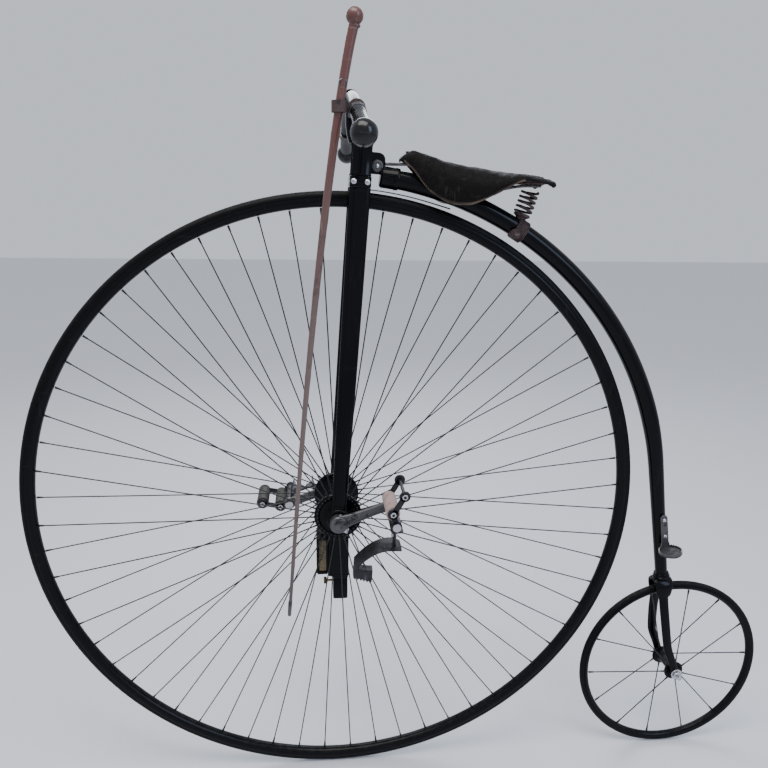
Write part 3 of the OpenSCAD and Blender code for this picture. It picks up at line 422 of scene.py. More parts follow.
# %% [markdown]
# ## Saddle leather
# The hide is thick and has gone black-brown, with grey scuffs and a paler cut edge. The edge follows the saddle's
# shape, so it comes from a value stored on the mesh, which is 1 along the cut edge and 0 elsewhere.

# %% Saddle leather
leather = (Finish("saddle_leather", (0.0035, 0.0026, 0.0026), 0.5, specular=0.08)
           .worn(26.0, 0.5, (0.009, 0.0072, 0.007), 0.6)
           .worn(75.0, 0.34, (0.019, 0.016, 0.015), 0.7)
           .scratched(60.0, 0.55, (0.034, 0.029, 0.027), 0.66)
           .dusty(0.02)
           .relief(grain, 0.75, 0.0011, Scale=330.0))
edge_value = leather.tree.nodes.new("ShaderNodeAttribute")
edge_value.attribute_name = "cut_edge"
edge_cover = maths(leather.tree, "MULTIPLY", edge_value.outputs["Fac"],
                   leather.group(patches, Scale=90.0, Cover=0.85).outputs["Mask"])
leather.layer(edge_cover, (0.16, 0.12, 0.095), 0.7)

# %% [markdown]
# ## Cane wood
# The cane is varnished red-brown near its ball, rubbed to a grey beige below, where it has knocked against things,
# and dark again near its tip. Its colour follows its height, and fine streaks run along it.

# %% Cane wood
cane_wood = Finish("cane_wood", (0.1, 0.034, 0.027), 0.34, coat=0.1)
height_on_cane = cane_wood.tree.nodes.new("ShaderNodeTexCoord")
height_split = cane_wood.tree.nodes.new("ShaderNodeSeparateXYZ")
cane_wood.tree.links.new(height_on_cane.outputs["Object"], height_split.inputs["Vector"])
low_part = maths(cane_wood.tree, "SUBTRACT", 1.0, ramp_in(cane_wood.tree, height_split.outputs["Z"], -0.42, 0.14))
cane_wood.layer(low_part, (0.125, 0.085, 0.075), 0.5)
lowest_part = maths(cane_wood.tree, "SUBTRACT", 1.0,
                    ramp_in(cane_wood.tree, height_split.outputs["Z"], -0.95, -0.6))
cane_wood.layer(lowest_part, (0.04, 0.032, 0.034), 0.55)
cane_wood.worn(38.0, 0.45, (0.08, 0.045, 0.036), 0.5)
cane_wood.scratched(130.0, 0.45, (0.2, 0.16, 0.135), 0.55)
cane_wood.relief(scratches, 0.25, 0.0004, Scale=140.0)
print("finishes:", sorted(m.name for m in bpy.data.materials if m.users))

# %% [markdown]
# ## One way to make a piece
# Most parts here were turned on a lathe, forged along a line, or cut from plate. So a piece collects turned,
# lofted and cut shapes in millimetres, and is then finished once: doubles merged, normals made to face out, its
# edges rounded, a finish given, and its body named so that it moves with the model.

# %% The piece builder
BODY_OF = {node: body for body, members in frame["record"]["behaviour"]["bodies"].items() for node in members}
PIECES = []
SHARP_ANGLE, BEVEL_ANGLE, WELD_DISTANCE = 38.0, 42.0, 1e-6
THINNEST = 0.02


def mixed_with(a, b, t):
    return tuple(p + (q - p) * t for p, q in zip(a, b))


def settle(obj):
    """Turns live modifiers into plain mesh."""
    bpy.context.view_layer.update()
    final = bpy.data.meshes.new_from_object(obj.evaluated_get(bpy.context.evaluated_depsgraph_get()))
    obj.modifiers.clear()
    obj.data = final
    return obj


def repaint(obj, finish):
    """Leaves one finish on an object's mesh."""
    obj.data.materials.clear()
    obj.data.materials.append(finish.material)


def hand_over(obj, node, replaces=()):
    """Gives a finished mesh smooth shading and the body of the model's node that it belongs with, and hides the
    parts it replaces.
    """
    obj.data.shade_smooth()
    obj.data.set_sharp_from_angle(angle=math.radians(SHARP_ANGLE))
    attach(obj, BODY_OF[node])
    if replaces:
        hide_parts(*replaces)
    PIECES.append(obj.name)
    return obj


class Piece:
    """A piece under construction, in millimetres, in the place system given by "where"."""

    def __init__(self, name, where=from_ground):
        self.name, self.where = name, where
        self.points, self.faces = [], []

    def loft(self, rings, closed=False):
        """A skin over rings that all have the same number of points."""
        first, count = len(self.points), len(rings[0])
        for ring in rings:
            self.points.extend(self.where(*point) for point in ring)
        spans = len(rings) if closed else len(rings) - 1
        for j in range(spans):
            a, b = first + j * count, first + ((j + 1) % len(rings)) * count
            for i in range(count):
                k = (i + 1) % count
                self.faces.append((a + i, a + k, b + k, b + i))
        if not closed:
            self.faces.append(tuple(range(first + count - 1, first - 1, -1)))
            self.faces.append(tuple(range(first + (len(rings) - 1) * count, first + len(rings) * count)))
        return self

    def turned(self, profile, centre=(0, 0, 0), axis=(0, 1, 0), sides=64, hollow=False):
        """A lathe shape: profile is (radius, height along axis); hollow closes the profile on itself."""
        way = Vector(axis).normalized()
        side = way.orthogonal().normalized()
        other = way.cross(side)
        rings = []
        for radius, height in profile:
            ring = []
            for k in range(sides):
                a = 2 * math.pi * k / sides
                outward = side * math.cos(a) + other * math.sin(a)
                ring.append(tuple(Vector(centre) + way * height + outward * max(radius, THINNEST)))
            rings.append(ring)
        return self.loft(rings, closed=hollow)

    def plate(self, outline, y0, y1):
        """A plate cut to an outline in X and Z, between two places across the bicycle."""
        return self.loft([[(x, y, z) for x, z in outline] for y in (y0, y1)])

    def bar(self, path, widths, side=(0, 1, 0), sides=32, power=1.0):
        """A forged bar with an oval section (width along "side", thickness across it) along a path."""
        rings = []
        for i, point in enumerate(path):
            way = (Vector(path[min(i + 1, len(path) - 1)]) - Vector(path[max(i - 1, 0)])).normalized()
            wide = (Vector(side) - way * way.dot(Vector(side))).normalized()
            deep = way.cross(wide)
            w, t = widths[i] if isinstance(widths, list) else widths
            ring = []
            for k in range(sides):
                a = 2 * math.pi * k / sides
                c, s = math.cos(a), math.sin(a)
                ring.append(tuple(Vector(point) + wide * (w / 2 * abs(c) ** power * (1 if c >= 0 else -1))
                                  + deep * (t / 2 * abs(s) ** power * (1 if s >= 0 else -1))))
            rings.append(ring)
        return self.loft(rings)

    def done(self, finish, node, replaces=(), bevel=0.0, smooth=0):
        """Makes the mesh, rounds its edges by a bevel in millimetres or smooths it, and hands it over."""
        mesh = bpy.data.meshes.new(self.name)
        mesh.from_pydata(self.points, [], self.faces)
        shape = bmesh.new()
        shape.from_mesh(mesh)
        bmesh.ops.remove_doubles(shape, verts=shape.verts, dist=WELD_DISTANCE)
        bmesh.ops.recalc_face_normals(shape, faces=shape.faces)
        shape.to_mesh(mesh)
        shape.free()
        obj = bpy.data.objects.new(self.name, mesh)
        bpy.context.scene.collection.objects.link(obj)
        mesh.materials.append(finish.material)
        if bevel:
            rounding = obj.modifiers.new("rounded_edges", "BEVEL")
            rounding.width = bevel * MM
            rounding.segments = 3
            rounding.limit_method = "ANGLE"
            rounding.angle_limit = math.radians(BEVEL_ANGLE)
        if smooth:
            dividing = obj.modifiers.new("smooth", "SUBSURF")
            dividing.levels = dividing.render_levels = smooth
        if obj.modifiers:
            settle(obj)
        return hand_over(obj, node, replaces)


def arc_points(radius, start, end, count, centre=(0.0, 0.0)):
    """Points of an arc in a plane, from one angle to another in degrees."""
    angles = [math.radians(start + (end - start) * i / count) for i in range(count + 1)]
    return [(centre[0] + radius * math.cos(a), centre[1] + radius * math.sin(a)) for a in angles]


def collar(bore, radius, ends, inward, along):
    """A ring's profile between two ends. Its outer edges are cut off by a size inward and a size along the axis."""
    low, high = sorted(ends)
    return [(bore, low), (radius - inward, low), (radius, low + along), (radius, high - along),
            (radius - inward, high), (bore, high)]


def on_side(profile, side):
    """A lathe profile given for the left side, turned over for the right."""
    return profile if side > 0 else [(r, -h) for r, h in reversed(profile)]


def serrated(levels, count, depth):
    """Rings of a knob or nut with fine teeth: each point is its height along the axis and two places across it."""
    rings = []
    for height, radius in levels:
        ring = []
        for k in range(count):
            r, a = radius - depth * (k % 2), 2 * math.pi * k / count
            ring.append((height, r * math.cos(a), r * math.sin(a)))
        rings.append(ring)
    return rings


def round_outline(w, h, r, n=6):
    """A rectangle with round corners."""
    points = []
    for cx, cz, a in ((w / 2 - r, h / 2 - r, 0), (r - w / 2, h / 2 - r, 90), (r - w / 2, r - h / 2, 180),
                      (w / 2 - r, r - h / 2, 270)):
        points += arc_points(r, a, a + 90, n, (cx, cz))
    return points


# %% [markdown]
# ## Tyres and rims
# A solid rubber tyre is a round cord glued into a crescent-shaped rim. Both are turned shapes: the rim's profile is
# an arc outside and a groove inside, and a high number of sides keeps the tall wheel round.

# %% Tyres and rims
FRONT_TYRE, REAR_TYRE = (649.0, 11.0), (212.0, 8.0)
RIM_LIP, TYRE_GAP = 2.5, 0.2


def tyre_and_rim(name, where, mid, r, rim_half, depth, sides):
    Piece(name + "_tyre_skin", where).turned(
        [(mid + x, y) for x, y in arc_points(r, 0, 345, 23)], sides=sides, hollow=True).done(
        tyre_rubber, name + "_tyre", [name + "_tyre"])
    back = mid - depth + rim_half
    lip = mid - RIM_LIP - back
    opening = math.degrees(math.acos(lip / rim_half))
    groove_r = r + TYRE_GAP
    groove = math.degrees(math.acos(-RIM_LIP / groove_r))
    outside = [(back + x, y) for x, y in arc_points(rim_half, opening, 360 - opening, 24)]
    inside = [(mid + x, y) for x, y in arc_points(groove_r, 360 - groove, groove, 14)]
    Piece(name + "_rim_skin", where).turned(outside + inside, sides=sides, hollow=True).done(
        rim_enamel, name + "_rim", [name + "_rim"])


tyre_and_rim("front", from_front_hub, *FRONT_TYRE, 13.0, 20.5, 288)
tyre_and_rim("rear", from_rear_hub, *REAR_TYRE, 9.0, 12.5, 160)

# %% [markdown]
# ## Spokes
# Radial spokes screw straight into the hub's flanges and stand in the rim, one after the other on the left and the
# right. This is a shape that repeats, so Geometry Nodes make it: one spoke with a thicker root and a small head at
# the rim is turned round the hub as often as the count says.

# %% A tree that turns one spoke into a ring of spokes


def link_all(tree, pairs):
    for source, target in pairs:
        tree.links.new(source, target)


def new_tree(name, inputs):
    """A tree that makes geometry: the tree, the node of its inputs and the node of its result."""
    tree = bpy.data.node_groups.new(name, "GeometryNodeTree")
    tree.interface.new_socket("Geometry", in_out="INPUT", socket_type="NodeSocketGeometry")
    for label, kind in inputs:
        tree.interface.new_socket(label, in_out="INPUT", socket_type="NodeSocket" + kind)
    tree.interface.new_socket("Geometry", in_out="OUTPUT", socket_type="NodeSocketGeometry")
    return tree, tree.nodes.new("NodeGroupInput"), tree.nodes.new("NodeGroupOutput")


def cone_part(tree, radius, length, base, sides=10, top=None):
    """A cone along +Z of a given length, standing at a given height."""
    cone = tree.nodes.new("GeometryNodeMeshCone")
    cone.inputs["Vertices"].default_value = sides
    for label, value in (("Radius Bottom", radius), ("Radius Top", top or radius)):
        cone.inputs[label].default_value = value
    if isinstance(length, float):
        cone.inputs["Depth"].default_value = length
    else:
        tree.links.new(length, cone.inputs["Depth"])
    move = tree.nodes.new("GeometryNodeTransform")
    lift = tree.nodes.new("ShaderNodeCombineXYZ")
    if isinstance(base, float):
        lift.inputs["Z"].default_value = base
    else:
        tree.links.new(base, lift.inputs["Z"])
    link_all(tree, [(cone.outputs["Mesh"], move.inputs["Geometry"]),
                    (lift.outputs["Vector"], move.inputs["Translation"])])
    return move.outputs["Geometry"]


spoke_tree, given, made = new_tree("ring_of_spokes", (
    ("Count", "Int"), ("First angle", "Float"), ("Root", "Vector"), ("Length", "Float"), ("Lean", "Float"),
    ("Hub", "Vector"), ("Finish", "Material")))
SPOKE_R = 0.0013
spoke = spoke_tree.nodes.new("GeometryNodeJoinGeometry")
near_rim = maths(spoke_tree, "SUBTRACT", given.outputs["Length"], 0.012)
for part in (cone_part(spoke_tree, SPOKE_R, given.outputs["Length"], 0.0),
             cone_part(spoke_tree, SPOKE_R * 1.75, 0.012, -0.002, top=SPOKE_R * 1.2),
             cone_part(spoke_tree, SPOKE_R * 1.3, 0.012, near_rim, top=SPOKE_R * 1.9)):
    spoke_tree.links.new(part, spoke.inputs["Geometry"])
stand = spoke_tree.nodes.new("GeometryNodeTransform")
lean_turn = spoke_tree.nodes.new("ShaderNodeCombineXYZ")
ring_points = spoke_tree.nodes.new("GeometryNodeMeshLine")
placing = spoke_tree.nodes.new("GeometryNodeInstanceOnPoints")
index = spoke_tree.nodes.new("GeometryNodeInputIndex")
full_turn = maths(spoke_tree, "DIVIDE", 2 * math.pi, given.outputs["Count"], clamp=False)
each = maths(spoke_tree, "MULTIPLY", index.outputs["Index"], full_turn, clamp=False)
angle = maths(spoke_tree, "ADD", each, given.outputs["First angle"], clamp=False)
turn = spoke_tree.nodes.new("ShaderNodeCombineXYZ")
real = spoke_tree.nodes.new("GeometryNodeRealizeInstances")
to_hub = spoke_tree.nodes.new("GeometryNodeTransform")
coat = spoke_tree.nodes.new("GeometryNodeSetMaterial")
ring_points.inputs["Offset"].default_value = (0, 0, 0)
link_all(spoke_tree, [
    (given.outputs["Lean"], lean_turn.inputs["X"]), (spoke.outputs["Geometry"], stand.inputs["Geometry"]),
    (lean_turn.outputs["Vector"], stand.inputs["Rotation"]), (given.outputs["Root"], stand.inputs["Translation"]),
    (given.outputs["Count"], ring_points.inputs["Count"]), (ring_points.outputs["Mesh"], placing.inputs["Points"]),
    (stand.outputs["Geometry"], placing.inputs["Instance"]), (angle, turn.inputs["Y"]),
    (turn.outputs["Vector"], placing.inputs["Rotation"]), (placing.outputs["Instances"], real.inputs["Geometry"]),
    (real.outputs["Geometry"], to_hub.inputs["Geometry"]), (given.outputs["Hub"], to_hub.inputs["Translation"]),
    (to_hub.outputs["Geometry"], coat.inputs["Geometry"]), (given.outputs["Finish"], coat.inputs["Material"]),
    (coat.outputs["Geometry"], made.inputs["Geometry"])])


def from_tree(name, tree, finish, values, mesh=None):
    """Runs a tree once on a mesh or an empty one, and keeps its result as a plain mesh."""
    obj = bpy.data.objects.new(name, mesh or bpy.data.meshes.new(name))
    bpy.context.scene.collection.objects.link(obj)
    run = obj.modifiers.new("maker", "NODES")
    run.node_group = tree
    for item in tree.interface.items_tree:
        if item.in_out == "INPUT" and item.name in values:
            run[item.identifier] = values[item.name]
    settle(obj)
    repaint(obj, finish)
    return obj


# %% Front and rear spokes


def spokes_on(name, hub, count, first, flange_r, flange_y, rim_r, rim_y, node, replaced):
    values = {"Count": count, "First angle": math.radians(first), "Root": (0, flange_y * MM, flange_r * MM),
              "Length": math.hypot(rim_y - flange_y, rim_r - flange_r) * MM,
              "Lean": -math.atan2(rim_y - flange_y, rim_r - flange_r), "Hub": tuple(hub),
              "Finish": spoke_steel.material}
    obj = from_tree(name, spoke_tree, spoke_steel, values)
    print(name, len(obj.data.polygons), "faces")
    return hand_over(obj, node, replaced)


front_hub_at, rear_hub_at = joint_at["front_wheel_spin"], joint_at["rear_wheel_spin"]
FRONT_COUNT, REAR_COUNT, REAR_FIRST = 64, 14, -8.5
STEP, REAR_STEP = 360 / FRONT_COUNT, 360 / REAR_COUNT
FRONT_STARTS = {"left": 0.5 * STEP, "right": 1.5 * STEP}
for side, name in ((1, "left"), (-1, "right")):
    spokes_on("front_spoke_ring_" + name, front_hub_at, FRONT_COUNT // 2, FRONT_STARTS[name], 48.5, side * 59,
              627.5, side * 3, "front_spokes_" + name, ["front_spokes_" + name])
for side, name, first, replaced in ((1, "left", REAR_FIRST, ["rear_spokes"]),
                                    (-1, "right", REAR_FIRST - REAR_STEP, [])):
    spokes_on("rear_spoke_ring_" + name, rear_hub_at, REAR_COUNT // 2, first, 22, side * 31, 198.5, side * 2.5,
              "rear_spokes", replaced)

# %% [markdown]
# ## Hubs
# Each hub is one turned piece: a barrel that flares into two flanges. The flange has a raised rounded lip, a
# shallow hollow and a collar where the axle comes out.

# %% Hubs


def half_hub(barrel, flange, inner, outer, bore):
    """The outline of a hub's left half, as radius and distance from its middle."""
    return [(barrel, 0), (barrel, inner * 0.55), (barrel * 1.06, inner * 0.72), (barrel * 1.3, inner * 0.86),
            (barrel * 1.9, inner - 1.5), (flange - 5, inner), (flange - 1.6, inner + 0.6), (flange, inner + 2.4),
            (flange, outer - 2.4), (flange - 1.6, outer - 0.5), (flange - 4.5, outer), (flange - 9, outer - 0.4),
            (flange - 11.5, outer - 2.6), (barrel + 6, outer - 2.8), (barrel + 3, outer - 0.6), (barrel, outer),
            (bore, outer)]


def hub_piece(name, where, sizes, node):
    half = half_hub(*sizes)
    profile = half + [(r, -h) for r, h in reversed(half)]
    Piece(name, where).turned(profile, sides=128, hollow=True).done(enamel, node, [node])


hub_piece("front_hub_turned", from_front_hub, (17, 50, 54, 64, 9.3), "front_hub")
hub_piece("rear_hub_turned", from_rear_hub, (11, 23, 28.5, 33.5, 5.9), "rear_hub")

# %% [markdown]
# ## Dots of metal: rivets, bolt heads and spoke heads
# Small domed heads repeat all over the machine. One tree places a domed, slightly flattened head on every point of
# a small mesh and turns it to the point's normal, so that each list of places becomes a set of heads.

# %% A tree that sets a domed head on every point
head_tree, head_given, head_made = new_tree("domed_heads", (
    ("Radius", "Float"), ("Flatness", "Float"), ("Finish", "Material")))
ball = head_tree.nodes.new("GeometryNodeMeshUVSphere")
ball.inputs["Segments"].default_value = 16
ball.inputs["Rings"].default_value = 8
flatten = head_tree.nodes.new("GeometryNodeTransform")
flat_scale = head_tree.nodes.new("ShaderNodeCombineXYZ")
flat_scale.inputs["X"].default_value = flat_scale.inputs["Y"].default_value = 1.0
align = head_tree.nodes.new("FunctionNodeAlignRotationToVector")
align.axis = "Z"
outward = head_tree.nodes.new("GeometryNodeInputNamedAttribute")
outward.data_type = "FLOAT_VECTOR"
outward.inputs["Name"].default_value = "outward"
head_place = head_tree.nodes.new("GeometryNodeInstanceOnPoints")
head_real = head_tree.nodes.new("GeometryNodeRealizeInstances")
head_coat = head_tree.nodes.new("GeometryNodeSetMaterial")
link_all(head_tree, [
    (head_given.outputs["Radius"], ball.inputs["Radius"]), (ball.outputs["Mesh"], flatten.inputs["Geometry"]),
    (head_given.outputs["Flatness"], flat_scale.inputs["Z"]),
    (flat_scale.outputs["Vector"], flatten.inputs["Scale"]),
    (outward.outputs["Attribute"], align.inputs["Vector"]),
    (head_given.outputs["Geometry"], head_place.inputs["Points"]),
    (flatten.outputs["Geometry"], head_place.inputs["Instance"]),
    (align.outputs["Rotation"], head_place.inputs["Rotation"]),
    (head_place.outputs["Instances"], head_real.inputs["Geometry"]),
    (head_real.outputs["Geometry"], head_coat.inputs["Geometry"]),
    (head_given.outputs["Finish"], head_coat.inputs["Material"]),
    (head_coat.outputs["Geometry"], head_made.inputs["Geometry"])])


def domed_heads(name, spots, radius, flatness, finish, node):
    """Heads at places in metres, each with the direction it faces. Their radius is in millimetres."""
    mesh = bpy.data.meshes.new(name)
    mesh.from_pydata([tuple(place) for place, _ in spots], [], [])
    facing_ways = mesh.attributes.new("outward", "FLOAT_VECTOR", "POINT")
    for i, (_, way) in enumerate(spots):
        facing_ways.data[i].vector = way
    values = {"Radius": radius * MM, "Flatness": flatness, "Finish": finish.material}
    return hand_over(from_tree(name, head_tree, finish, values, mesh), node)


# %% Spoke heads on the front hub's flanges
HEADS_R = 43.6
for side, name in ((1, "left"), (-1, "right")):
    ring = []
    for k in range(FRONT_COUNT // 2):
        a = math.radians(FRONT_STARTS[name] + 2 * k * STEP)
        ring.append((from_front_hub(HEADS_R * math.sin(a), side * 64.0, HEADS_R * math.cos(a)), (0, side, 0)))
    domed_heads("spoke_heads_" + name, ring, 2.1, 0.55, spoke_steel, "front_hub")

# %% [markdown]
# ## Backbone
# The backbone is one tapered tube bent to an arc just behind the wheel, running straight into the rear fork. The
# arc's middle lies a little below the front hub; the straight part leaves the arc where it points at the fork.

# %% Backbone
ARC_MID, ARC_R = (12.0, 616.0), 737.84
TAIL = (REAR_X + 42, 454.0)
TAIL_D, TUBE_D = 27.0, 37.0
reach = math.hypot(ARC_MID[0] - TAIL[0], TAIL[1] - ARC_MID[1])
END_ANGLE = math.degrees(math.atan2(TAIL[1] - ARC_MID[1], ARC_MID[0] - TAIL[0]) + math.acos(ARC_R / reach))
START_ANGLE = 81.9


def on_arc(angle):
    a = math.radians(angle)
    return (ARC_MID[0] - ARC_R * math.cos(a), 0.0, ARC_MID[1] + ARC_R * math.sin(a))


touch = on_arc(END_ANGLE)
spine = [on_arc(START_ANGLE + (END_ANGLE - START_ANGLE) * i / 60) for i in range(61)]
spine += [mixed_with(touch, (TAIL[0], 0.0, TAIL[1]), i / 12) for i in range(1, 13)]
spine_d = []
for i in range(len(spine)):
    taper = max(0.0, (26 * i / 60 if i <= 60 else 26 + 8 * (i - 60) / 12) / 34 - 0.68) / 0.32
    spine_d.append(TUBE_D - (TUBE_D - TAIL_D) * taper ** 0.8)
Piece("backbone_tube").bar(spine, [(d, d) for d in spine_d], sides=56).done(enamel, "backbone", ["backbone"])

# %% [markdown]
# ## Neck
# The neck is a flat forging with a socket for the backbone and an upright spindle that turns inside the head. A
# grey round nut holds the saddle's long spring against it.

# %% Neck
start = on_arc(START_ANGLE)
a = math.radians(START_ANGLE)
tube_way = (-math.sin(a), 0.0, -math.cos(a))
web = [(0, 695), (0, 736), (-33, 736)] + arc_points(14, 90, 180, 8, (-33, 722)) + [(-47, 695)]
Piece("neck_forging", leaning).plate(web, -6, 6).turned(
    [(0, 681), (4.5, 681), (4.5, 692), (9, 693), (12, 696), (12, 744), (9, 747), (4.5, 748), (4.5, 759), (0, 759)],
    axis=(0, 0, 1)).done(enamel, "neck", ["neck"], bevel=1.4)
Piece("neck_socket").turned(
    [(19.3, -30), (20.6, -30), (21.5, -28.5), (21.5, -22), (20.8, -21), (20.8, 4), (18, 7.4), (12, 8), (0, 8),
     (0, 1), (19.3, 1)][::-1],
    centre=start, axis=tuple(-v for v in tube_way)).done(enamel, "neck")
Piece("spring_nut").turned(
    [(0, -10.4), (7, -10.4), (10.4, -9.6), (12, -7.6), (12, 7.6), (10.4, 9.6), (8, 10), (7.4, 9), (0, 9)],
    centre=(start[0] + 13, 0, start[2] + 20)).done(dull_steel, "neck")
domed_heads("spring_nut_pin", [(from_ground(start[0] + 13, 9.2, start[2] + 20), (0, 1, 0))], 4.2, 0.5, bright_steel,
            "neck")

# %% [markdown]
# ## Head, crown and handlebar lug
# The head is a forged frame with two lens-shaped cheeks and an open middle for the neck. Above it a stem carries
# the handlebar; below it the crown joins the two fork blades. The crown's bolts have bright domed heads.

# %% Head, crown and lug
CROWN_Z, HEAD_Z, HEAD_TOP, BAR_Z, REACH = 667.0, 689.0, 751.0, 827.0, 29.0


def lens(length, thick, count=14):
    """A lens outline: two shallow arcs that meet at blunt ends."""
    r = (length ** 2 / 4 + thick ** 2 / 4) / thick
    half = math.degrees(math.asin((length / 2 - 1.6) / r))
    return (arc_points(r, 90 + half, 90 - half, count, (0, thick / 2 - r))
            + arc_points(r, -90 + half, -90 - half, count, (0, r - thick / 2)))


head = Piece("head_forging", leaning)
for side in (-1, 1):
    rings = []
    for z, grow in ((HEAD_Z + 0.2, 1.0), (HEAD_Z + 3, 1.0), (HEAD_Z + 5, 0.93), (HEAD_TOP - 6, 0.93),
                    (HEAD_TOP - 3, 1.0), (HEAD_TOP + 1, 1.0)):
        rings.append([(x * grow, side * 31 + y * grow, z) for x, y in lens(43, 14)])
    head.loft(rings)
head.loft([[(x * g, y * g, HEAD_TOP + z) for x, y in round_outline(40, 76, 9)]
           for z, g in ((0, 0.95), (2.5, 1.0), (14, 1.0), (17, 0.96), (18, 0.9))])
stem = [(13, 0, HEAD_TOP + 4), (20, 0, HEAD_TOP + 16), (26, 0, HEAD_TOP + 30), (REACH, 0, BAR_Z - 22),
        (REACH, 0, BAR_Z - 8)]
head.bar(stem, [(30, 30), (27, 24), (24, 17), (23, 14), (24, 15)], power=0.7, sides=40)
head.turned([(10.2, -14), (15, -14), (17, -12), (17, -9), (16, -8), (16, 8), (17, 9), (17, 12), (15, 14),
             (10.2, 14)],
            centre=(REACH, 0, BAR_Z), hollow=True)
head.done(enamel, "steering_head", ["steering_head"], bevel=0.7)
crown = Piece("crown_forging", leaning)
crown.loft([[(x * g, y * g, CROWN_Z + z) for x, y in round_outline(42, 76, 9)]
            for z, g in ((0, 0.93), (2, 0.99), (4, 1.0), (9, 1.0), (10, 0.975), (12, 0.975), (13, 1.0), (18, 1.0),
                         (21, 0.985), (22, 0.95))])
crown.done(enamel, "fork_crown", ["fork_crown"])
crown_bolts = [(leaning(x, side * 38.0, CROWN_Z + 11), (0, side, 0)) for side in (-1, 1) for x in (-13, 13)]
domed_heads("crown_bolt_heads", crown_bolts, 6.0, 0.62, bright_steel, "fork_crown")
domed_heads("lug_bolt_heads", [(leaning(REACH - 2, side * 12.0, BAR_Z - 30), (0, side, 0)) for side in (-1, 1)],
            5.0, 0.6, dull_steel, "steering_head")
oiler = [(0, 769.2), (12.5, 769.2), (13, 770.5), (13, 774), (11.5, 775.4), (9, 775.6), (9, 786), (7, 787.4),
         (4.5, 788), (4.0, 794)] + arc_points(6.5, -52, 90, 9, (0, 800))
Piece("head_oiler", leaning).turned(oiler, axis=(0, 0, 1)).done(spoke_steel, "head_bolt", ["head_bolt"])

# %% [markdown]
# ## Fork blades and bearings
# Each blade is a flattened tube, wide at the crown and narrow at the hub, with blunt oval sides. It ends in a round
# bearing case with turned lips.

# %% Fork blades and bearings
CASE = [(9.4, 66.5), (20.5, 66.5), (23, 67.6), (24, 69.4), (24, 73), (22.8, 74), (22.8, 79), (24, 80), (24, 83.6),
        (23, 85.4), (20.5, 86.5), (9.4, 86.5)]
for side, name in ((1, "left"), (-1, "right")):
    path = [(0, side * (76.5 + (27 - 76.5) * i / 24), 30.2 + 636.6 * i / 24) for i in range(25)]
    widths = [(30 + 12 * (i / 24) ** 0.8, 14) for i in range(25)]
    Piece("fork_blade_tube_" + name, leaning).bar(path, widths, side=(1, 0, 0), sides=56, power=0.8).done(
        enamel, "fork_blade_" + name, ["fork_blade_" + name])
    case = Piece("bearing_case_" + name, leaning)
    case.turned(on_side(CASE, side), sides=96, hollow=True)
    case.bar([(0, side * 76.5, z) for z in (14, 20, 26, 30)], [(36, 16), (32, 16), (30.5, 16), (30, 15)],
             side=(1, 0, 0), power=0.75, sides=40)
    case.done(enamel, "bearing_" + name, ["bearing_" + name])

# %% [markdown]
# ## Handlebar and grips
# The bar droops from the lug to two pear-shaped grips of dark horn, each with a turned ferrule where the bar goes
# in.

# %% Handlebar and grips
HALF_BAR, GRIP_IN = 292.0, 218.0


def on_bar(y):
    t = abs(y) / HALF_BAR
    return (REACH - 13 * t ** 4, y, BAR_Z - 82 * t ** 2.2)


grip_end = mixed_with(on_bar(GRIP_IN), on_bar(HALF_BAR), 0.72)
far_end = (grip_end[0], -grip_end[1], grip_end[2])
bar_path = [far_end] + [on_bar(GRIP_IN * (2 * i / 60 - 1)) for i in range(61)] + [grip_end]
bar_tube = Piece("handlebar_tube", leaning).bar(bar_path, (20, 20), side=(1, 0, 0), sides=40)
bar_tube.done(rim_enamel, "handlebar", ["handlebar"])
for side, name in ((1, "left"), (-1, "right")):
    inner = Vector((on_bar(GRIP_IN)[0], side * GRIP_IN, on_bar(GRIP_IN)[2]))
    outer = Vector((on_bar(HALF_BAR)[0], side * HALF_BAR, on_bar(HALF_BAR)[2]))
    way = tuple((outer - inner).normalized())
    length = (outer - inner).length
    shape = [(10.5, 3), (13.2, 3), (13.6, 8), (12.8, 18), (12.6, 30), (13.4, 42)] + [
        (r, length + h) for r, h in arc_points(22, -50, 90, 20)]
    Piece("horn_grip_" + name, leaning).turned(shape + [(0, 20)], centre=tuple(inner), axis=way, sides=72).done(
        horn, "grip_" + name, ["grip_" + name])
    Piece("grip_ferrule_" + name, leaning).turned(
        [(10.4, -1), (13.6, -1), (14.6, 0), (14.6, 1.6), (13.9, 2.2), (13.9, 5), (14.4, 5.6), (14.4, 6.8),
         (13.4, 7.4), (10.4, 7.4)],
        centre=tuple(inner), axis=way, hollow=True).done(dull_steel, "grip_" + name)

# %% [markdown]
# ## Plate over the tyre
# A thin plate curves over the tyre behind the crown and lifts a little at its tail. It is a loft of thin crowned
# sections that grow narrow at the end.

# %% Plate over the tyre
plate = Piece("tyre_plate", from_front_hub)
rings = []
for i in range(31):
    u = i / 30
    a = math.radians(2.4 + 17.4 * u)
    half = 13 * math.sqrt(max(0.02, 1 - max(0.0, (u - 0.86) / 0.14) ** 2))
    radius = 665 + 1.6 * max(0.0, (u - 0.75) / 0.25) ** 2
    outline = [(half * (2 * k / 10 - 1), 1.9 - 1.0 * (2 * k / 10 - 1) ** 2) for k in range(11)]
    outline += [(y, r - 1.5) for y, r in reversed(outline)]
    rings.append([(-(radius + r) * math.sin(a), y, (radius + r) * math.cos(a)) for y, r in outline])
plate.loft(rings).done(enamel, "tyre_guard", ["tyre_guard"])

# %% [markdown]
# ## Saddle leather
# The seat is a single thick hide, wet-moulded over its springs: narrow at the nose, hollow along its back, with two
# flaps that hang down at the sides and a thick rolled cantle. Its section is an arch whose width, height and drop
# change along the length; small smooth waves keep it from looking machined.

# %% Saddle shape
NOSE_X, SEAT_L, SEAT_W, HIDE = -122.0, 296.0, 150.0, 5.0
SEAT_BASE = 1345.0


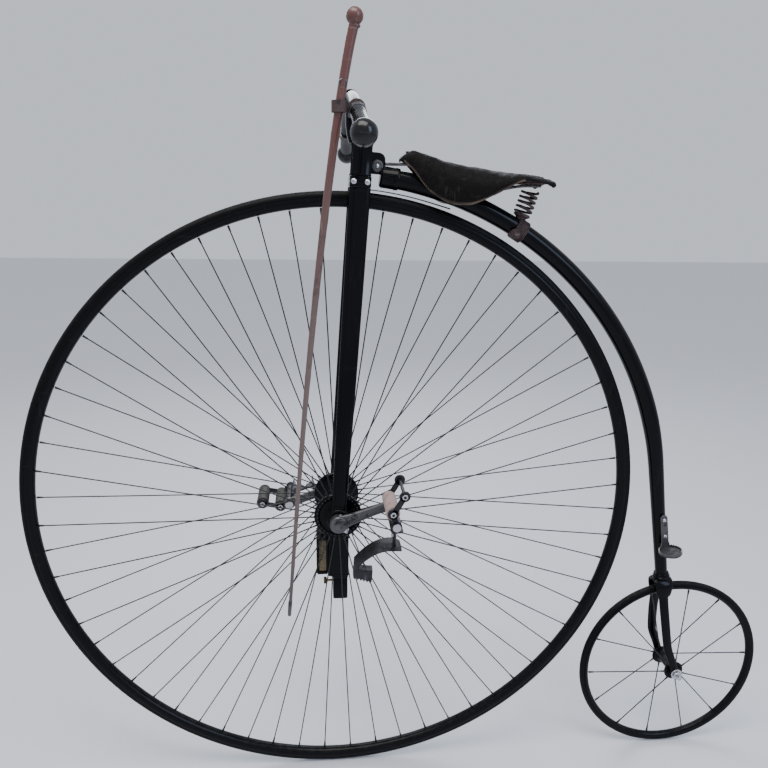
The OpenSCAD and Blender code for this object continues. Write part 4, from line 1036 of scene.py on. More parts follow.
def seat_top(t):
    rise = 38 + 15 * math.sin(math.radians(900 * t)) if t < 0.1 else 53 * math.exp(-1.85 * (t - 0.1) / 0.9)
    return SEAT_BASE - 8 * t ** 12 + rise


def seat_half(t):
    return 14 + (SEAT_W / 2 - 14) * math.sin(math.radians(min(90, 112 * t))) ** 1.15 * (1 - 0.2 * t ** 14)


def seat_drop(t):
    u = max(0.0, min(1.0, (t - 0.02) / 0.78))
    return 9 + 5 * t + 70 * math.sin(math.radians(180 * u ** 0.75)) ** 1.2


def wave(t, a):
    """Gentle unevenness of moulded hide, in millimetres."""
    waves = 0.7 * math.sin(17 * t + 3 * a) + 0.5 * math.sin(41 * t - 5 * a + 1) + 0.35 * math.sin(73 * t + 9 * a)
    return waves * min(1, 6 * t)


def seat_arch(t, inset, count=34):
    points = []
    for k in range(count + 1):
        a = math.pi * k / count
        c = math.cos(a)
        flat = abs(c) ** 0.8 * (1 if c >= 0 else -1)
        z = seat_top(t) - inset - (seat_drop(t) - inset) * (1 - max(0.0, math.sin(a)) ** 0.75)
        points.append((NOSE_X - t * SEAT_L, -(seat_half(t) - inset) * flat, z + wave(t, a)))
    return points


stations = [0, 0.006, 0.015] + [0.03 + 0.94 * i / 56 for i in range(57)] + [0.98, 0.992, 1.0]
rings = []
for t in stations:
    near_end = max(0.0, 1 - t / 0.03) ** 2 * 0.35 + max(0.0, 1 - (1 - t) / 0.02) ** 2 * 0.2
    inset = HIDE * (1 - 0.5 * near_end)
    outer = seat_arch(t, 0.4 + HIDE * near_end * 0.5)
    rings.append(outer + list(reversed(seat_arch(t, inset))))
seat = Piece("saddle_hide").loft(rings).done(leather, "saddle_leather", ["saddle_leather"], smooth=1)
edge_data = seat.data.attributes.new("cut_edge", "FLOAT", "POINT")
for i, vertex in enumerate(seat.data.vertices):
    spot = (vertex.co - ground_zero) / MM
    t = min(1.0, max(0.0, (NOSE_X - spot.x) / SEAT_L))
    above = spot.z - (seat_top(t) - seat_drop(t))
    rim = max(0.0, 1 - above / 4.5) if seat_drop(t) > 14 else 0.0
    edge_data.data[i].value = min(1.0, rim + max(0.0, 1 - (1 - t) * SEAT_L / 4))
print("saddle", round(seat.dimensions.x * 1000), "x", round(seat.dimensions.y * 1000), "mm")

# %% Rolled cantle and rivets of the saddle
cantle = [(x, y, z - 2.6) for x, y, z in seat_arch(0.988, 1.5, 40)[2:-2]]
cantle_sizes = [(8.5 + 2 * math.sin(math.pi * i / 36), 10.5) for i in range(len(cantle))]
roll = Piece("saddle_cantle").bar(cantle, cantle_sizes, side=(1, 0, 0), sides=20)
roll.done(leather, "saddle_leather")
rivets = []
for t, y in ((0.055, 0.0), (0.93, -34.0), (0.93, -12.0), (0.93, 12.0), (0.93, 34.0)):
    lift = min(seat_arch(t, 0.4, 80), key=lambda p: abs(p[1] - y) - (1000 if p[2] > seat_top(t) - 14 else 0))
    rivets.append((from_ground(NOSE_X - t * SEAT_L, y, lift[2] + 0.2), (0, 0, 1)))
domed_heads("saddle_rivets", rivets, 4.6, 0.4, rusty_iron, "saddle_leather")

# %% [markdown]
# ## Springs and clamp of the saddle
# A long flat spring runs from the neck below the hide to the back plate. Its rear end stands on one coil spring,
# and that stands on a ribbed clamp round the backbone.

# %% Long spring and back plate
PLATE_Z = SEAT_BASE - 7.5
LEAF_TOP, LEAF_LOW, LEAF_END = FRONT_R + 711, FRONT_R + 662, PLATE_Z - 3.2
leaf_x0 = -47 - (LEAF_TOP - FRONT_R) * math.sin(LEAN) - 0.6
leaf_x1 = NOSE_X - 0.96 * SEAT_L


def leaf_z(s):
    if s < 0.28:
        return LEAF_TOP
    if s < 0.62:
        return LEAF_TOP - (LEAF_TOP - LEAF_LOW) * (1 - math.cos(math.pi * (s - 0.28) / 0.34)) / 2
    return LEAF_LOW + (LEAF_END - LEAF_LOW) * (1 - math.cos(math.pi * min(1, (s - 0.62) / 0.3))) / 2


leaf_path = [(leaf_x0 + (leaf_x1 - leaf_x0) * k / 60, 0, leaf_z(k / 60)) for k in range(61)]
leaf_w = [(18 + (4 if k < 8 else 0) * (1 - k / 8), 5.8) for k in range(61)]
Piece("long_leaf_spring").bar(leaf_path, leaf_w, sides=24, power=0.35).done(
    dull_steel, "saddle_leaf_spring", ["saddle_leaf_spring"])
back_plate = Piece("saddle_back_plate")
back_plate.loft([[(NOSE_X - 0.88 * SEAT_L + x * g, y * g, z) for x, y in round_outline(48, SEAT_W * 0.62, 10)]
                 for z, g in ((PLATE_Z, 0.97), (PLATE_Z + 0.8, 1.0), (PLATE_Z + 3.0, 1.0), (PLATE_Z + 3.8, 0.97))])
back_plate.done(rusty_iron, "saddle_rear_plate", ["saddle_rear_plate"])

# %% Clamp, its nut and the coil spring
CLAMP_ANGLE, CLAMP_R = 59.0, TUBE_D / 2 + 4
clamp_mid = Vector(on_arc(CLAMP_ANGLE))
clamp_up = Vector((-math.cos(math.radians(CLAMP_ANGLE)), 0, math.sin(math.radians(CLAMP_ANGLE))))
along_tube = Vector((clamp_up.z, 0, -clamp_up.x))
coil_foot = clamp_mid + clamp_up * (CLAMP_R + 8) + along_tube * 12
coil_top = Vector((NOSE_X - 0.905 * SEAT_L, 0, LEAF_END - 3.2))
coil_way = (coil_top - coil_foot).normalized()
clamp = Piece("saddle_clamp_ring")
ribs = [(CLAMP_R - 3.6, -12), (CLAMP_R - 0.8, -12)]
for i in range(7):
    h = -11.4 + i * 3.6
    ribs += [(CLAMP_R + 0.2, h), (CLAMP_R + 0.2, h + 1.5), (CLAMP_R - 1.5, h + 2.1), (CLAMP_R - 1.5, h + 2.9)]
ribs += [(CLAMP_R - 0.8, 13.4), (CLAMP_R - 3.6, 13.4)]
clamp.turned(ribs, centre=tuple(clamp_mid - along_tube * 1), axis=tuple(along_tube), sides=80, hollow=True)
pad_top = [(0, 0), (14.5, 0), (17, -1.4), (17, -4.5), (14.5, -6), (11, -8.5), (10, -13), (0, -13)]
clamp.turned(pad_top, centre=tuple(coil_foot), axis=tuple(coil_way))
boss_mid = clamp_mid + along_tube * 8 - clamp_up * 13
clamp.turned([(0, 12), (9, 12), (10, 14), (10, 26.4), (8.6, 27.4), (0, 27.4)], centre=(boss_mid.x, 0, boss_mid.z))
clamp.done(rusty_iron, "saddle_clamp", ["saddle_clamp"])
nut = Piece("saddle_clamp_nut")
nut_rings = serrated(((27.7, 8.2), (28.3, 9.0), (31.2, 9.0), (31.9, 8.2)), 24, 0.9)
nut.loft([[(boss_mid.x + x, h, boss_mid.z + z) for h, x, z in ring] for ring in nut_rings])
nut.turned([(0, 31.0), (5.4, 31.0), (5.4, 35.5), (4.2, 36.6), (0, 36.6)], centre=(boss_mid.x, 0, boss_mid.z))
nut.done(rusty_iron, "saddle_bolt", ["saddle_bolt"])

# %% [markdown]
# A coil spring is a path with a rule, so Geometry Nodes draw it: a spiral is swept with a round wire, then a little
# noise makes its old turns uneven, and the whole stands on its foot.

# %% Coil spring tree
coil_tree, coil_given, coil_made = new_tree("coil_spring", (
    ("Turns", "Float"), ("Radius", "Float"), ("Height", "Float"), ("Wire", "Float"), ("Foot", "Vector"),
    ("Tilt", "Float"), ("Finish", "Material")))
spiral = coil_tree.nodes.new("GeometryNodeCurveSpiral")
spiral.inputs["Resolution"].default_value = 26
wobble = coil_tree.nodes.new("GeometryNodeSetPosition")
unrest = coil_tree.nodes.new("ShaderNodeTexNoise")
unrest.inputs["Scale"].default_value = 38.0
centred = coil_tree.nodes.new("ShaderNodeVectorMath")
centred.operation = "SUBTRACT"
centred.inputs[1].default_value = (0.5, 0.5, 0.5)
small = coil_tree.nodes.new("ShaderNodeVectorMath")
small.operation = "MULTIPLY"
small.inputs[1].default_value = (0.004, 0.004, 0.005)
wire = coil_tree.nodes.new("GeometryNodeCurvePrimitiveCircle")
wire.inputs["Resolution"].default_value = 14
sweep = coil_tree.nodes.new("GeometryNodeCurveToMesh")
sweep.inputs["Fill Caps"].default_value = True
stand_up = coil_tree.nodes.new("GeometryNodeTransform")
tilt = coil_tree.nodes.new("ShaderNodeCombineXYZ")
coil_coat = coil_tree.nodes.new("GeometryNodeSetMaterial")
coil_real = coil_tree.nodes.new("GeometryNodeRealizeInstances")
link_all(coil_tree, [
    (coil_given.outputs["Turns"], spiral.inputs["Rotations"]),
    (coil_given.outputs["Radius"], spiral.inputs["Start Radius"]),
    (coil_given.outputs["Radius"], spiral.inputs["End Radius"]),
    (coil_given.outputs["Height"], spiral.inputs["Height"]),
    (spiral.outputs["Curve"], wobble.inputs["Geometry"]), (unrest.outputs["Color"], centred.inputs[0]),
    (centred.outputs["Vector"], small.inputs[0]), (small.outputs["Vector"], wobble.inputs["Offset"]),
    (wobble.outputs["Geometry"], sweep.inputs["Curve"]), (coil_given.outputs["Wire"], wire.inputs["Radius"]),
    (wire.outputs["Curve"], sweep.inputs["Profile Curve"]), (sweep.outputs["Mesh"], stand_up.inputs["Geometry"]),
    (coil_given.outputs["Tilt"], tilt.inputs["Y"]), (tilt.outputs["Vector"], stand_up.inputs["Rotation"]),
    (coil_given.outputs["Foot"], stand_up.inputs["Translation"]),
    (stand_up.outputs["Geometry"], coil_real.inputs["Geometry"]),
    (coil_real.outputs["Geometry"], coil_coat.inputs["Geometry"]),
    (coil_given.outputs["Finish"], coil_coat.inputs["Material"]),
    (coil_coat.outputs["Geometry"], coil_made.inputs["Geometry"])])
coil_base = coil_foot + coil_way * 2.4
coil_length = (coil_top - coil_foot).length
coil = from_tree("saddle_coil", coil_tree, rusty_iron, {
    "Turns": 4.6, "Radius": 16.2 * MM, "Height": (coil_length - 9.5) * MM, "Wire": 2.5 * MM,
    "Foot": tuple(from_ground(*coil_base)), "Tilt": math.atan2(coil_way.x, coil_way.z)})
hand_over(coil, "saddle_coil_spring", ["saddle_coil_spring"])

# %% [markdown]
# ## Rear fork
# The rear fork is a ball-shaped crown over the small wheel with two flattened blades that bend backwards to the
# axle. A collar shows where the backbone is brazed in.

# %% Rear fork


def through(points, steps=8):
    """A smooth path through a few points."""
    path = []
    for i in range(len(points) - 1):
        p0, p1, p2, p3 = (Vector(points[max(0, min(len(points) - 1, i + k))]) for k in (-1, 0, 1, 2))
        for j in range(steps):
            u = j / steps
            path.append(tuple(0.5 * (2 * p1 + (p2 - p0) * u + (2 * p0 - 5 * p1 + 4 * p2 - p3) * u * u
                                     + (3 * p1 - p0 - 3 * p2 + p3) * u ** 3)))
    return path + [tuple(points[-1])]


tail_x = TAIL[0]
over = through([(tail_x, y, z) for y, z in ((20.4, 414), (20.6, 428), (18.5, 439), (12, 447.5), (0, 451.2),
                                            (-12, 447.5), (-18.5, 439), (-20.6, 428), (-20.4, 414))], 6)
over_w = [(28 + 18 * math.sin(math.pi * i / (len(over) - 1)) ** 0.6, 10.6) for i in range(len(over))]
tail_up = (Vector((touch[0], 0, touch[2])) - Vector((tail_x, 0, TAIL[1]))).normalized()
rear_fork = Piece("rear_fork_forging").bar(over, over_w, side=(1, 0, 0), sides=40, power=0.9)
rear_fork.turned([(0, 0), (18, 0), (19, 2), (19, 5), (17.4, 6.5), (16.6, 12), (15.2, 13.4), (13.6, 13.6)],
                 centre=(tail_x, 0, TAIL[1]), axis=tuple(tail_up))
for side in (1, -1):
    points = [(tail_x, side * 20.4, 424), (tail_x - 1, side * 20.6, 408), (tail_x - 6, side * 31.65, 354.5),
              (tail_x - 13, side * 40, 300), (REAR_X + 24, side * 41.5, 280), (REAR_X + 15, side * 42, 258),
              (REAR_X + 4, side * 42, 229)]
    blade = through(points, 8)
    blade_w = [(24 - 6.5 * i / (len(blade) - 1), 9.2 - 1.4 * i / (len(blade) - 1)) for i in range(len(blade))]
    rear_fork.bar(blade, blade_w, side=(1, 0, 0.3), sides=32, power=0.85)
    rear_fork.turned(collar(5.8, 14, (side * 42 - 4, side * 42 + 4), 1, 1), centre=(REAR_X, 0, REAR_R), hollow=True)
rear_fork.done(enamel, "rear_fork", ["rear_fork"])
axle = Piece("rear_axle_and_nuts", from_rear_hub)
axle.turned([(0, -64), (4.6, -64), (5.5, -63), (5.5, 63), (4.6, 64), (0, 64)])
for side in (1, -1):
    ends = sorted((side * 46.3, side * 48.0))
    axle.turned([(5.7, ends[0]), (13, ends[0]), (13, ends[1]), (5.7, ends[1])], hollow=True)
    axle.turned(collar(5.7, 10.4, (side * 48.2, side * 55.2), 1.2, 1.4), sides=6, hollow=True)
    cone = sorted((side * 34.8, side * 37.6))
    axle.turned([(5.7, cone[0]), (8, cone[0]), (8, cone[1]), (5.7, cone[1])], hollow=True)
axle.done(bright_steel, "rear_axle", ["rear_axle"], bevel=0.3)

# %% [markdown]
# ## Step
# To mount, the rider puts one foot on a small step riveted to the backbone. Its strap has a round top; the tread is
# leaf-shaped, with a raised rim whose teeth keep a shoe from slipping.

# %% Step
step_mid = Vector(mixed_with((touch[0], 0, touch[2]), (tail_x, 0, TAIL[1]), 0.55)) - Vector((4, 0, 0))
step_lean = math.atan2(touch[0] - tail_x, touch[2] - TAIL[1])
STRAP_Y = 17.1


def on_step(x, y, z):
    c, s = math.cos(step_lean), math.sin(step_lean)
    return from_ground(step_mid.x + x * c + z * s, y, step_mid.z - x * s + z * c)


strap = arc_points(8, 180, 0, 12, (0, 33)) + [(8, -26), (10, -32), (10, -41), (-10, -41), (-10, -32), (-8, -26)]
Piece("step_strap", on_step).plate(strap, STRAP_Y, STRAP_Y + 4.6).done(dull_steel, "step", ["step"], bevel=0.8)
domed_heads("step_rivets", [(on_step(0, STRAP_Y + 4.6, z), (0, 1, 0)) for z in (28, -12)], 4.4, 0.6, bright_steel,
            "step")


def leaf_edge(grow, count=60):
    """The outline of the tread seen from above, from its root to its tip and back."""
    points = []
    for k in range(count):
        a = 2 * math.pi * k / count
        points.append((25.5 * grow * math.sin(a) * abs(math.sin(a)) ** 0.25, 27 * grow * math.cos(a)))
    return points


tread = Piece("step_tread", on_step)
tread_mid_y = STRAP_Y + 27.5
for grow_out, grow_in, z0, z1, teeth in ((1.0, 0.0, -41.5, -38.0, 0), (1.0, 0.9, -41.5, -33.5, 1)):
    outer, inner = leaf_edge(grow_out), leaf_edge(max(grow_in, 0.02))
    bottom_outer = [(x, tread_mid_y + y, z0) for x, y in outer]
    top_outer = [(x, tread_mid_y + y, z1 - 2.2 * teeth * (k % 2)) for k, (x, y) in enumerate(outer)]
    top_inner = [(x, tread_mid_y + y, z1 - 2.2 * teeth * (k % 2)) for k, (x, y) in enumerate(inner)]
    bottom_inner = [(x, tread_mid_y + y, z0) for x, y in inner]
    tread.loft([bottom_outer, top_outer, top_inner, bottom_inner], closed=True)
tread.done(dull_steel, "step")

# %% [markdown]
# ## Cranks
# A crank is forged: a thick boss on the axle, held by a cotter bolt, an arm that thins towards its end, and an eye
# for the pedal pin.

# %% Cranks
CRANK = 114.0
left_pin = (joint_at["left_pedal_spin"] - front_hub_at) / MM
CRANK_TURN = math.atan2(left_pin.z, left_pin.x)
for side, name in ((1, "left"), (-1, "right")):
    turn_c = CRANK_TURN if side > 0 else CRANK_TURN + math.pi
    c, s = math.cos(turn_c), math.sin(turn_c)

    def on_crank(x, y, z, c=c, s=s):
        return from_front_hub(x * c - z * s, y, x * s + z * c)

    arm_mid = side * 98.5
    crank = Piece("crank_forging_" + name, on_crank)
    crank.turned(collar(9.3, 18, (side * 90, side * 109), 1.5, 1.6), hollow=True)
    arm = [(x * CRANK, arm_mid, 0) for x in (0.05, 0.11, 0.17, 0.23, 0.33, 0.44, 0.56, 0.68, 0.8, 0.88, 0.94, 1.0)]
    arm_w = [(30, 11), (29, 11), (27, 10.8), (24.5, 10.4), (22.4, 10), (21, 9.6), (19.8, 9.4), (19, 9.4), (20, 10),
             (22, 10.6), (24, 11), (24, 11)]
    crank.bar(arm, arm_w, side=(0, 0, 1), sides=40, power=0.55)
    crank.turned(collar(5.3, 13, (side * 93, side * 104), 1, 1.2), centre=(CRANK, 0, 0), hollow=True)
    crank.done(dull_steel, "crank_" + name, ["crank_" + name])
    cotter = Piece("crank_cotter_" + name, on_crank)
    cotter.turned([(0, -19), (3.6, -19), (3.6, 15), (6.4, 15), (7, 16), (7, 19.6), (6, 20.6), (3.4, 20.6),
                   (3.4, 24), (2.4, 25), (0, 25)],
                  centre=(8.5, side * 99.5, 0), axis=(0, 0, 1), sides=24)
    cotter.done(bright_steel, "crank_" + name)
    Piece("axle_end_" + name, from_front_hub).turned(
        [(0, side * 112.4), (6.5, side * 112.0), (8.6, side * 110.8), (9, side * 109), (9, side * 86),
         (0, side * 86)]).done(
        dull_steel, "front_axle")
    repaint(nodes["pedal_pin_" + name], bright_steel)
repaint(nodes["front_axle"], dull_steel)

# %% [markdown]
# ## Pedals
# Each pedal is a pair of plates on a tube, tied by two long bolts to one side of the pin, with a ribbed rubber on
# each bolt. The left pedal has lost one rubber, and its bolt shows. Below the pin hangs the toe plate: a bracket, a
# broad bowed plate that covers the toes, and a toothed wedge at its front.

# %% Pedal sizes and helpers
SPREAD, RISE, LEAD, RUBBER_R = 21.0, 39.0, 18.7, 14.0
PEDAL_IN, PEDAL_OUT = 114.0, 202.0
TILTS = {"left": 31.0, "right": 281.0}
CLIP_TURN = 31.0
TREADS = [(LEAD, RISE - SPREAD), (LEAD, RISE + SPREAD)]


def turned_place(pin, tilt):
    """A place system on a pedal pin, tilted with the pedal."""
    c, s = math.cos(math.radians(tilt)), math.sin(math.radians(tilt))

    def place(x, y, z):
        return pin + Vector((x * c - z * s, y, x * s + z * c)) * MM
    return place


def bow(u):
    return (-14 + 92 * u, -61 + 34 * u - 70 * u * u)


def with_clip_turn(place):
    c, s = math.cos(math.radians(CLIP_TURN)), math.sin(math.radians(CLIP_TURN))

    def turned(x, y, z):
        return place(x * c + z * s, y, -x * s + z * c)
    return turned


def ribbed_rubber(piece, y0, y1, tread):
    """A rubber with rings along it, a little worn in the middle."""
    profile = [(3.5, y0), (RUBBER_R - 1.4, y0), (RUBBER_R - 0.2, y0 + 1.2)]
    count = 15
    for k in range(count):
        a = y0 + 2 + (y1 - y0 - 4) * k / count
        b = (y1 - y0 - 4) / count
        worn = 0.5 * math.sin(math.pi * (k + 0.5) / count)
        profile += [(RUBBER_R - worn, a + 0.2 * b), (RUBBER_R - worn, a + 0.62 * b),
                    (RUBBER_R - 1.2 - worn * 0.5, a + 0.8 * b),
                    (RUBBER_R - 1.2 - worn * 0.5, a + 0.95 * b)]
    profile += [(RUBBER_R - 0.2, y1 - 1.2), (RUBBER_R - 1.4, y1), (3.5, y1)]
    return piece.turned(profile, centre=(tread[0], 0, tread[1]), sides=40, hollow=True)


# %% Both pedals
for side, name in ((1, "left"), (-1, "right")):
    place = turned_place(joint_at[name + "_pedal_spin"], TILTS[name])
    frame_piece = Piece("pedal_frame_" + name, place)
    for y in (PEDAL_IN, PEDAL_OUT - 3):
        y0, y1 = sorted((side * y, side * (y + 3)))
        frame_piece.plate([(LEAD - 5.6, TREADS[0][1]), (LEAD + 5.6, TREADS[0][1]), (LEAD + 5.6, TREADS[1][1]),
                           (LEAD - 5.6, TREADS[1][1])], y0, y1)
        reach = math.hypot(*TREADS[0])
        ux, uz = TREADS[0][0] / reach, TREADS[0][1] / reach
        arm = ((8, -5.6), (reach, -5.6), (reach, 5.6), (8, 5.6))
        frame_piece.plate([(ux * a - uz * b, uz * a + ux * b) for a, b in arm], y0, y1)
        frame_piece.turned(collar(5.4, 10.8, (y0, y1), 1, 0.8), hollow=True)
        for x, z in TREADS:
            frame_piece.turned(collar(3.3, 10.9, (y0, y1), 0.9, 0.8), centre=(x, 0, z), hollow=True)
    y0, y1 = sorted((side * (PEDAL_IN + 3), side * (PEDAL_OUT - 3)))
    frame_piece.turned([(5.4, y0), (8, y0), (8, y0 + 6), (7.4, y0 + 9), (7.4, y1 - 9), (8, y1 - 6), (8, y1),
                        (5.4, y1)], hollow=True)
    for x, z in TREADS:
        b0, b1 = sorted((side * (PEDAL_IN - 2), side * (PEDAL_OUT + 2)))
        frame_piece.turned([(0, b0), (3.2, b0), (3.2, b1), (0, b1)], centre=(x, 0, z), sides=24)
    frame_piece.done(dark_iron, "pedal_" + name, ["pedal_" + name], bevel=0.35)
    nuts = Piece("pedal_nuts_" + name, place)
    for x, z in TREADS:
        for a, b in ((PEDAL_IN - 3.6, PEDAL_IN - 0.1), (PEDAL_OUT + 0.1, PEDAL_OUT + 3.6)):
            nuts.turned(collar(3.3, 6, (side * a, side * b), 0.8, 0.7), centre=(x, 0, z), sides=6, hollow=True)
    nuts.done(bright_steel, "pedal_" + name)
    rubbers = Piece("pedal_ribbed_rubber_" + name, place)
    for tread in TREADS[:1] if side > 0 else TREADS:
        ribbed_rubber(rubbers, *sorted((side * (PEDAL_IN + 3.4), side * (PEDAL_OUT - 3.4))), tread)
    rubbers.done(pale_rubber if side > 0 else dark_rubber, "pedal_rubber_" + name, ["pedal_rubber_" + name])

# %% Toe plates
LOW = -11.2
CLIP_MID = (PEDAL_IN + PEDAL_OUT) / 2
for side, name in ((1, "left"), (-1, "right")):
    place = turned_place(joint_at[name + "_pedal_spin"], TILTS[name])
    clip_place = with_clip_turn(place)
    bracket = Piece("toe_bracket_" + name, clip_place)
    mid = side * CLIP_MID
    bracket.loft([[(-2 + x, mid + y, z) for x, y in round_outline(24, 88, 5)] for z in (LOW - 3, LOW)])
    bracket.done(dark_iron, "toe_clip_" + name, ["toe_clip_" + name], bevel=0.6)
    toe = Piece("toe_plate_" + name, clip_place)
    hang = [(-1, mid, LOW - 1), (-1, mid, LOW - 14), (-1, mid, LOW - 30), (-1.6, mid, bow(0.16)[1] - 0.5)]
    toe.bar(hang, [(28, 5), (24, 5), (24, 5), (30, 5)], power=0.5, sides=28)
    rings = []
    for k in range(41):
        u = k / 40
        x, z = bow(u)
        slope = math.atan2(34 - 148 * u, 100)
        half = 29 * (1 - 0.16 * u) * (0.78 + 0.22 * min(1, 6 * u))
        upward = (-math.sin(slope), math.cos(slope))
        outline = []
        for j in range(13):
            v = 2 * j / 12 - 1
            lift = 1.5 - 1.4 * v * v
            outline.append((x + upward[0] * lift, mid + half * v, z + upward[1] * lift))
        under = [(px - upward[0] * 2.8, py, pz - upward[1] * 2.8) for px, py, pz in reversed(outline)]
        rings.append(outline + under)
    toe.loft(rings)
    tip = bow(1)
    fore, aft = (tip[0] + 3, tip[1] - 26), (tip[0] - 34, tip[1] - 38)
    wedge = [(tip[0] + 1, tip[1] + 1), fore]
    for k in range(6):
        base, step_on = mixed_with(fore, aft, (k + 0.5) / 6), mixed_with(fore, aft, (k + 1) / 6)
        wedge += [(base[0] + 1.0, base[1] - 3.0), (step_on[0], step_on[1] + 1.0)]
    wedge += [(tip[0] - 36, tip[1] - 12), (tip[0] - 20, tip[1] - 11), (tip[0] - 5, tip[1] - 8),
              (tip[0] - 3, tip[1] + 2)]
    toe.plate(wedge, mid - 11, mid + 11)
    toe.done(dark_iron, "toe_clip_" + name, bevel=0.5)
    spots = []
    for z in (LOW - 12, LOW - 28):
        for face in (-1, 1):
            base_point = clip_place(-1 + face * 2.6, mid, z)
            spots.append((base_point, clip_place(face, 0, 0) - clip_place(0, 0, 0)))
    domed_heads("toe_bolts_" + name, [(p, (v / v.length)) for p, v in spots], 5.2, 0.75, bright_steel,
                "toe_clip_" + name)

# %% [markdown]
# ## Hub lamp
# The lamp hangs inside the wheel from the hub's barrel. Its body is folded sheet with two raised ribs, a hood
# frames the amber front, and the flat oil tank below has a wick knob.

# %% Hub lamp
LAMP_TOP, LAMP_X = -58.0, -24.0


def soft_box(piece, x0, x1, y, z0, z1, r):
    """A folded box with round upright edges."""
    outline = round_outline(x1 - x0, 2 * y, r)
    mid_x = (x0 + x1) / 2
    levels = [(z0, 0.93), (z0 + 1.6, 1.0), (z1 - 2.2, 1.0), (z1 - 0.6, 0.96), (z1, 0.88)]
    return piece.loft([[(mid_x + px * g, py * g, z) for px, py in outline] for z, g in levels])


lamp = Piece("lamp_case", from_front_hub)
soft_box(lamp, LAMP_X, LAMP_X + 44, 33, LAMP_TOP - 100, LAMP_TOP - 3, 4)
for z in (LAMP_TOP - 8, LAMP_TOP - 96):
    lamp.loft([[(LAMP_X + 22 + x * g, y * g, zz) for x, y in round_outline(45.6, 67.4, 4.6)]
               for zz, g in ((z - 2.2, 0.985), (z - 1, 1.0), (z + 1, 1.0), (z + 2.2, 0.985))])
soft_box(lamp, LAMP_X + 2, LAMP_X + 34, 27, LAMP_TOP - 158, LAMP_TOP - 101, 4)
lamp.loft([[(LAMP_X + 18 + x * g, y * g, LAMP_TOP + z) for x, y in round_outline(34.4, 56.4, 4.4)]
           for z, g in ((-106, 0.98), (-104.6, 1.0), (-102.4, 1.0), (-101, 0.98))])
lamp.done(enamel, "lamp_body", ["lamp_body"])
knob = Piece("lamp_wick_knob", from_front_hub)
knob_z = LAMP_TOP - 126
knob.turned([(0, 0), (2.4, 0), (2.4, 14), (4, 14.4), (4, 15), (0, 15)], centre=(LAMP_X + 33, 0, knob_z),
            axis=(1, 0, 0), sides=24)
knob_rings = serrated(((15.0, 6.4), (15.8, 7.5), (20.4, 7.5), (21.4, 6.2)), 36, 0.6)
knob.loft([[(LAMP_X + 33 + h, y, knob_z + z) for h, y, z in ring] for ring in knob_rings])
knob.done(brass, "lamp_body")
hood_x, hood_z = LAMP_X + 44.2, LAMP_TOP - 52
hood = Piece("lamp_hood_frame", from_front_hub)
for x0, x1 in ((hood_x, hood_x + 5), (hood_x + 21, hood_x + 26)):
    outer = round_outline(58, 84, 5)
    inner = round_outline(52, 78, 3)
    levels = ((x0, outer), (x1, outer), (x1, inner), (x0, inner))
    hood.loft([[(x, y, hood_z + z) for y, z in shape] for x, shape in levels], closed=True)
for y in (-27.5, 27.5):
    for z in (-40.5, 40.5):
        hood.bar([(hood_x + 2, y, hood_z + z), (hood_x + 24, y, hood_z + z)], (5, 5), side=(0, 1, 0), power=0.6,
                 sides=16)
for z in (-40.6, 40.6):
    hood.loft([[(hood_x + 1, y, hood_z + z + d) for y, d in ((-25, -1.2), (25, -1.2), (25, 1.2), (-25, 1.2))],
               [(hood_x + 25, y, hood_z + z + d) for y, d in ((-25, -1.2), (25, -1.2), (25, 1.2), (-25, 1.2))]])
hood.done(enamel, "lamp_hood", ["lamp_hood"], bevel=0.4)
glass = Piece("lamp_glass_case", from_front_hub)
glass_outer, glass_inner = round_outline(51.2, 77.2, 3), round_outline(45.2, 71.2, 2)
glass.loft([[(hood_x + x, y * g, hood_z + z * g) for y, z in shape] for x, shape, g in (
    (1, glass_outer, 1.0), (20.5, glass_outer, 1.0), (23.4, glass_outer, 0.95), (24.4, glass_outer, 0.6),
    (24.4, glass_outer, 0.02), (21.4, glass_inner, 0.02), (21, glass_inner, 0.9), (1, glass_inner, 1.0))],
    closed=True)
glass.done(amber, "lamp_glass", ["lamp_glass"])
hanger = Piece("lamp_hanger_straps", from_front_hub)
for y in (-20, 20):
    hanger.turned(collar(17.3, 22.3, (y - 6, y + 6), 0.9, 1), hollow=True)
    hanger.bar([(0, y, -18.5), (0, y, -34), (0, y, -50), (0, y, -57.5)], [(12, 8), (10, 7), (11, 8), (12, 16)],
               sides=24, power=0.7)
hanger.done(enamel, "lamp_hanger", ["lamp_hanger"])

# %% [markdown]
# ## Cane
# A walking cane is clipped to the handlebar and hangs beside the wheel: a turned ball on top, a slightly bowed
# shaft that thins all the way down, faint knots where side twigs were cut, and a small metal eyelet below the ball.

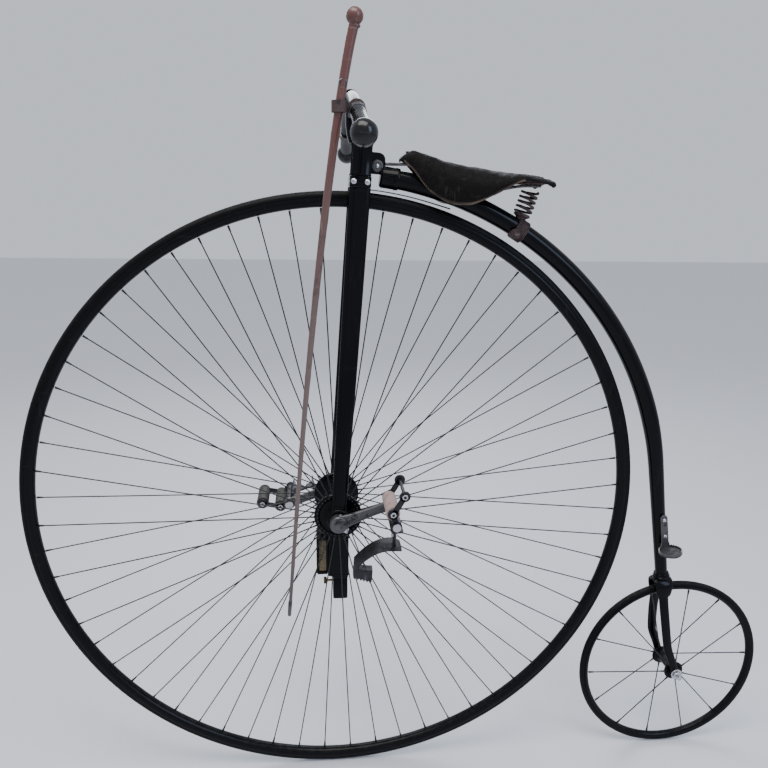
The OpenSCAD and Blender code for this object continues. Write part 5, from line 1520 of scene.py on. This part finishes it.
# %% Cane
CANE_Y = 221.0
cane_top, CANE_L = (-22.0, 913.0), 1050.0
cane_foot = (cane_top[0] + 0.115 * CANE_L, cane_top[1] - 0.993 * CANE_L)


def on_cane(s):
    return (cane_top[0] + (cane_foot[0] - cane_top[0]) * s + 50 * s ** 0.7 * (1 - s) ** 1.1, CANE_Y,
            cane_top[1] + (cane_foot[1] - cane_top[1]) * s)


def cane_d(s):
    knots = sum(0.9 * math.exp(-((s - k) / 0.006) ** 2) for k in (0.16, 0.29, 0.41, 0.55, 0.68, 0.8, 0.9))
    return 17 - 11 * s ** 0.75 + knots


cane_path = [on_cane(i / 150) for i in range(151)]
cane_sizes = [(cane_d(i / 150), cane_d(i / 150)) for i in range(151)]
Piece("cane_shaft", from_front_hub).bar(cane_path, cane_sizes, sides=28).done(cane_wood, "cane", ["cane"])
cane_head = Piece("cane_ball", from_front_hub)
ball_mid = (cane_top[0], CANE_Y, cane_top[1] + 10)
cane_head.turned([(0, -17), (8.2, -17), (9.4, -15.5), (9.4, -13.6), (7.8, -12.8)] + arc_points(14, -56, 90, 16),
                 centre=ball_mid, axis=(0, 0, 1))
cane_head.done(cane_wood, "cane")
eyelet = Piece("cane_eyelet", from_front_hub)
spot = on_cane(0.085)
eyelet.turned([(5.4, -2.2), (7.0, -1.2), (7.4, 0), (7.0, 1.2), (5.4, 2.2), (4.4, 1.0), (4.4, -1.0)],
              centre=(spot[0], CANE_Y + 5.2, spot[2]), hollow=True, sides=32)
eyelet.done(dull_steel, "cane")
cane_end = Piece("cane_ferrule", from_front_hub)
cane_end.turned([(0, -3), (2.4, -3), (3.4, -1), (3.7, 10), (3.9, 28), (0, 28)],
                centre=(cane_foot[0], CANE_Y, cane_foot[1] + 2), axis=(-0.08, 0, 1))
cane_end.done(dull_steel, "cane")
repaint(nodes["cane_clip"], rusty_iron)

# %% [markdown]
# ## The end
# The script ends by printing how many pieces it made.

# %% Count of pieces and the end
print("pieces:", len(PIECES))
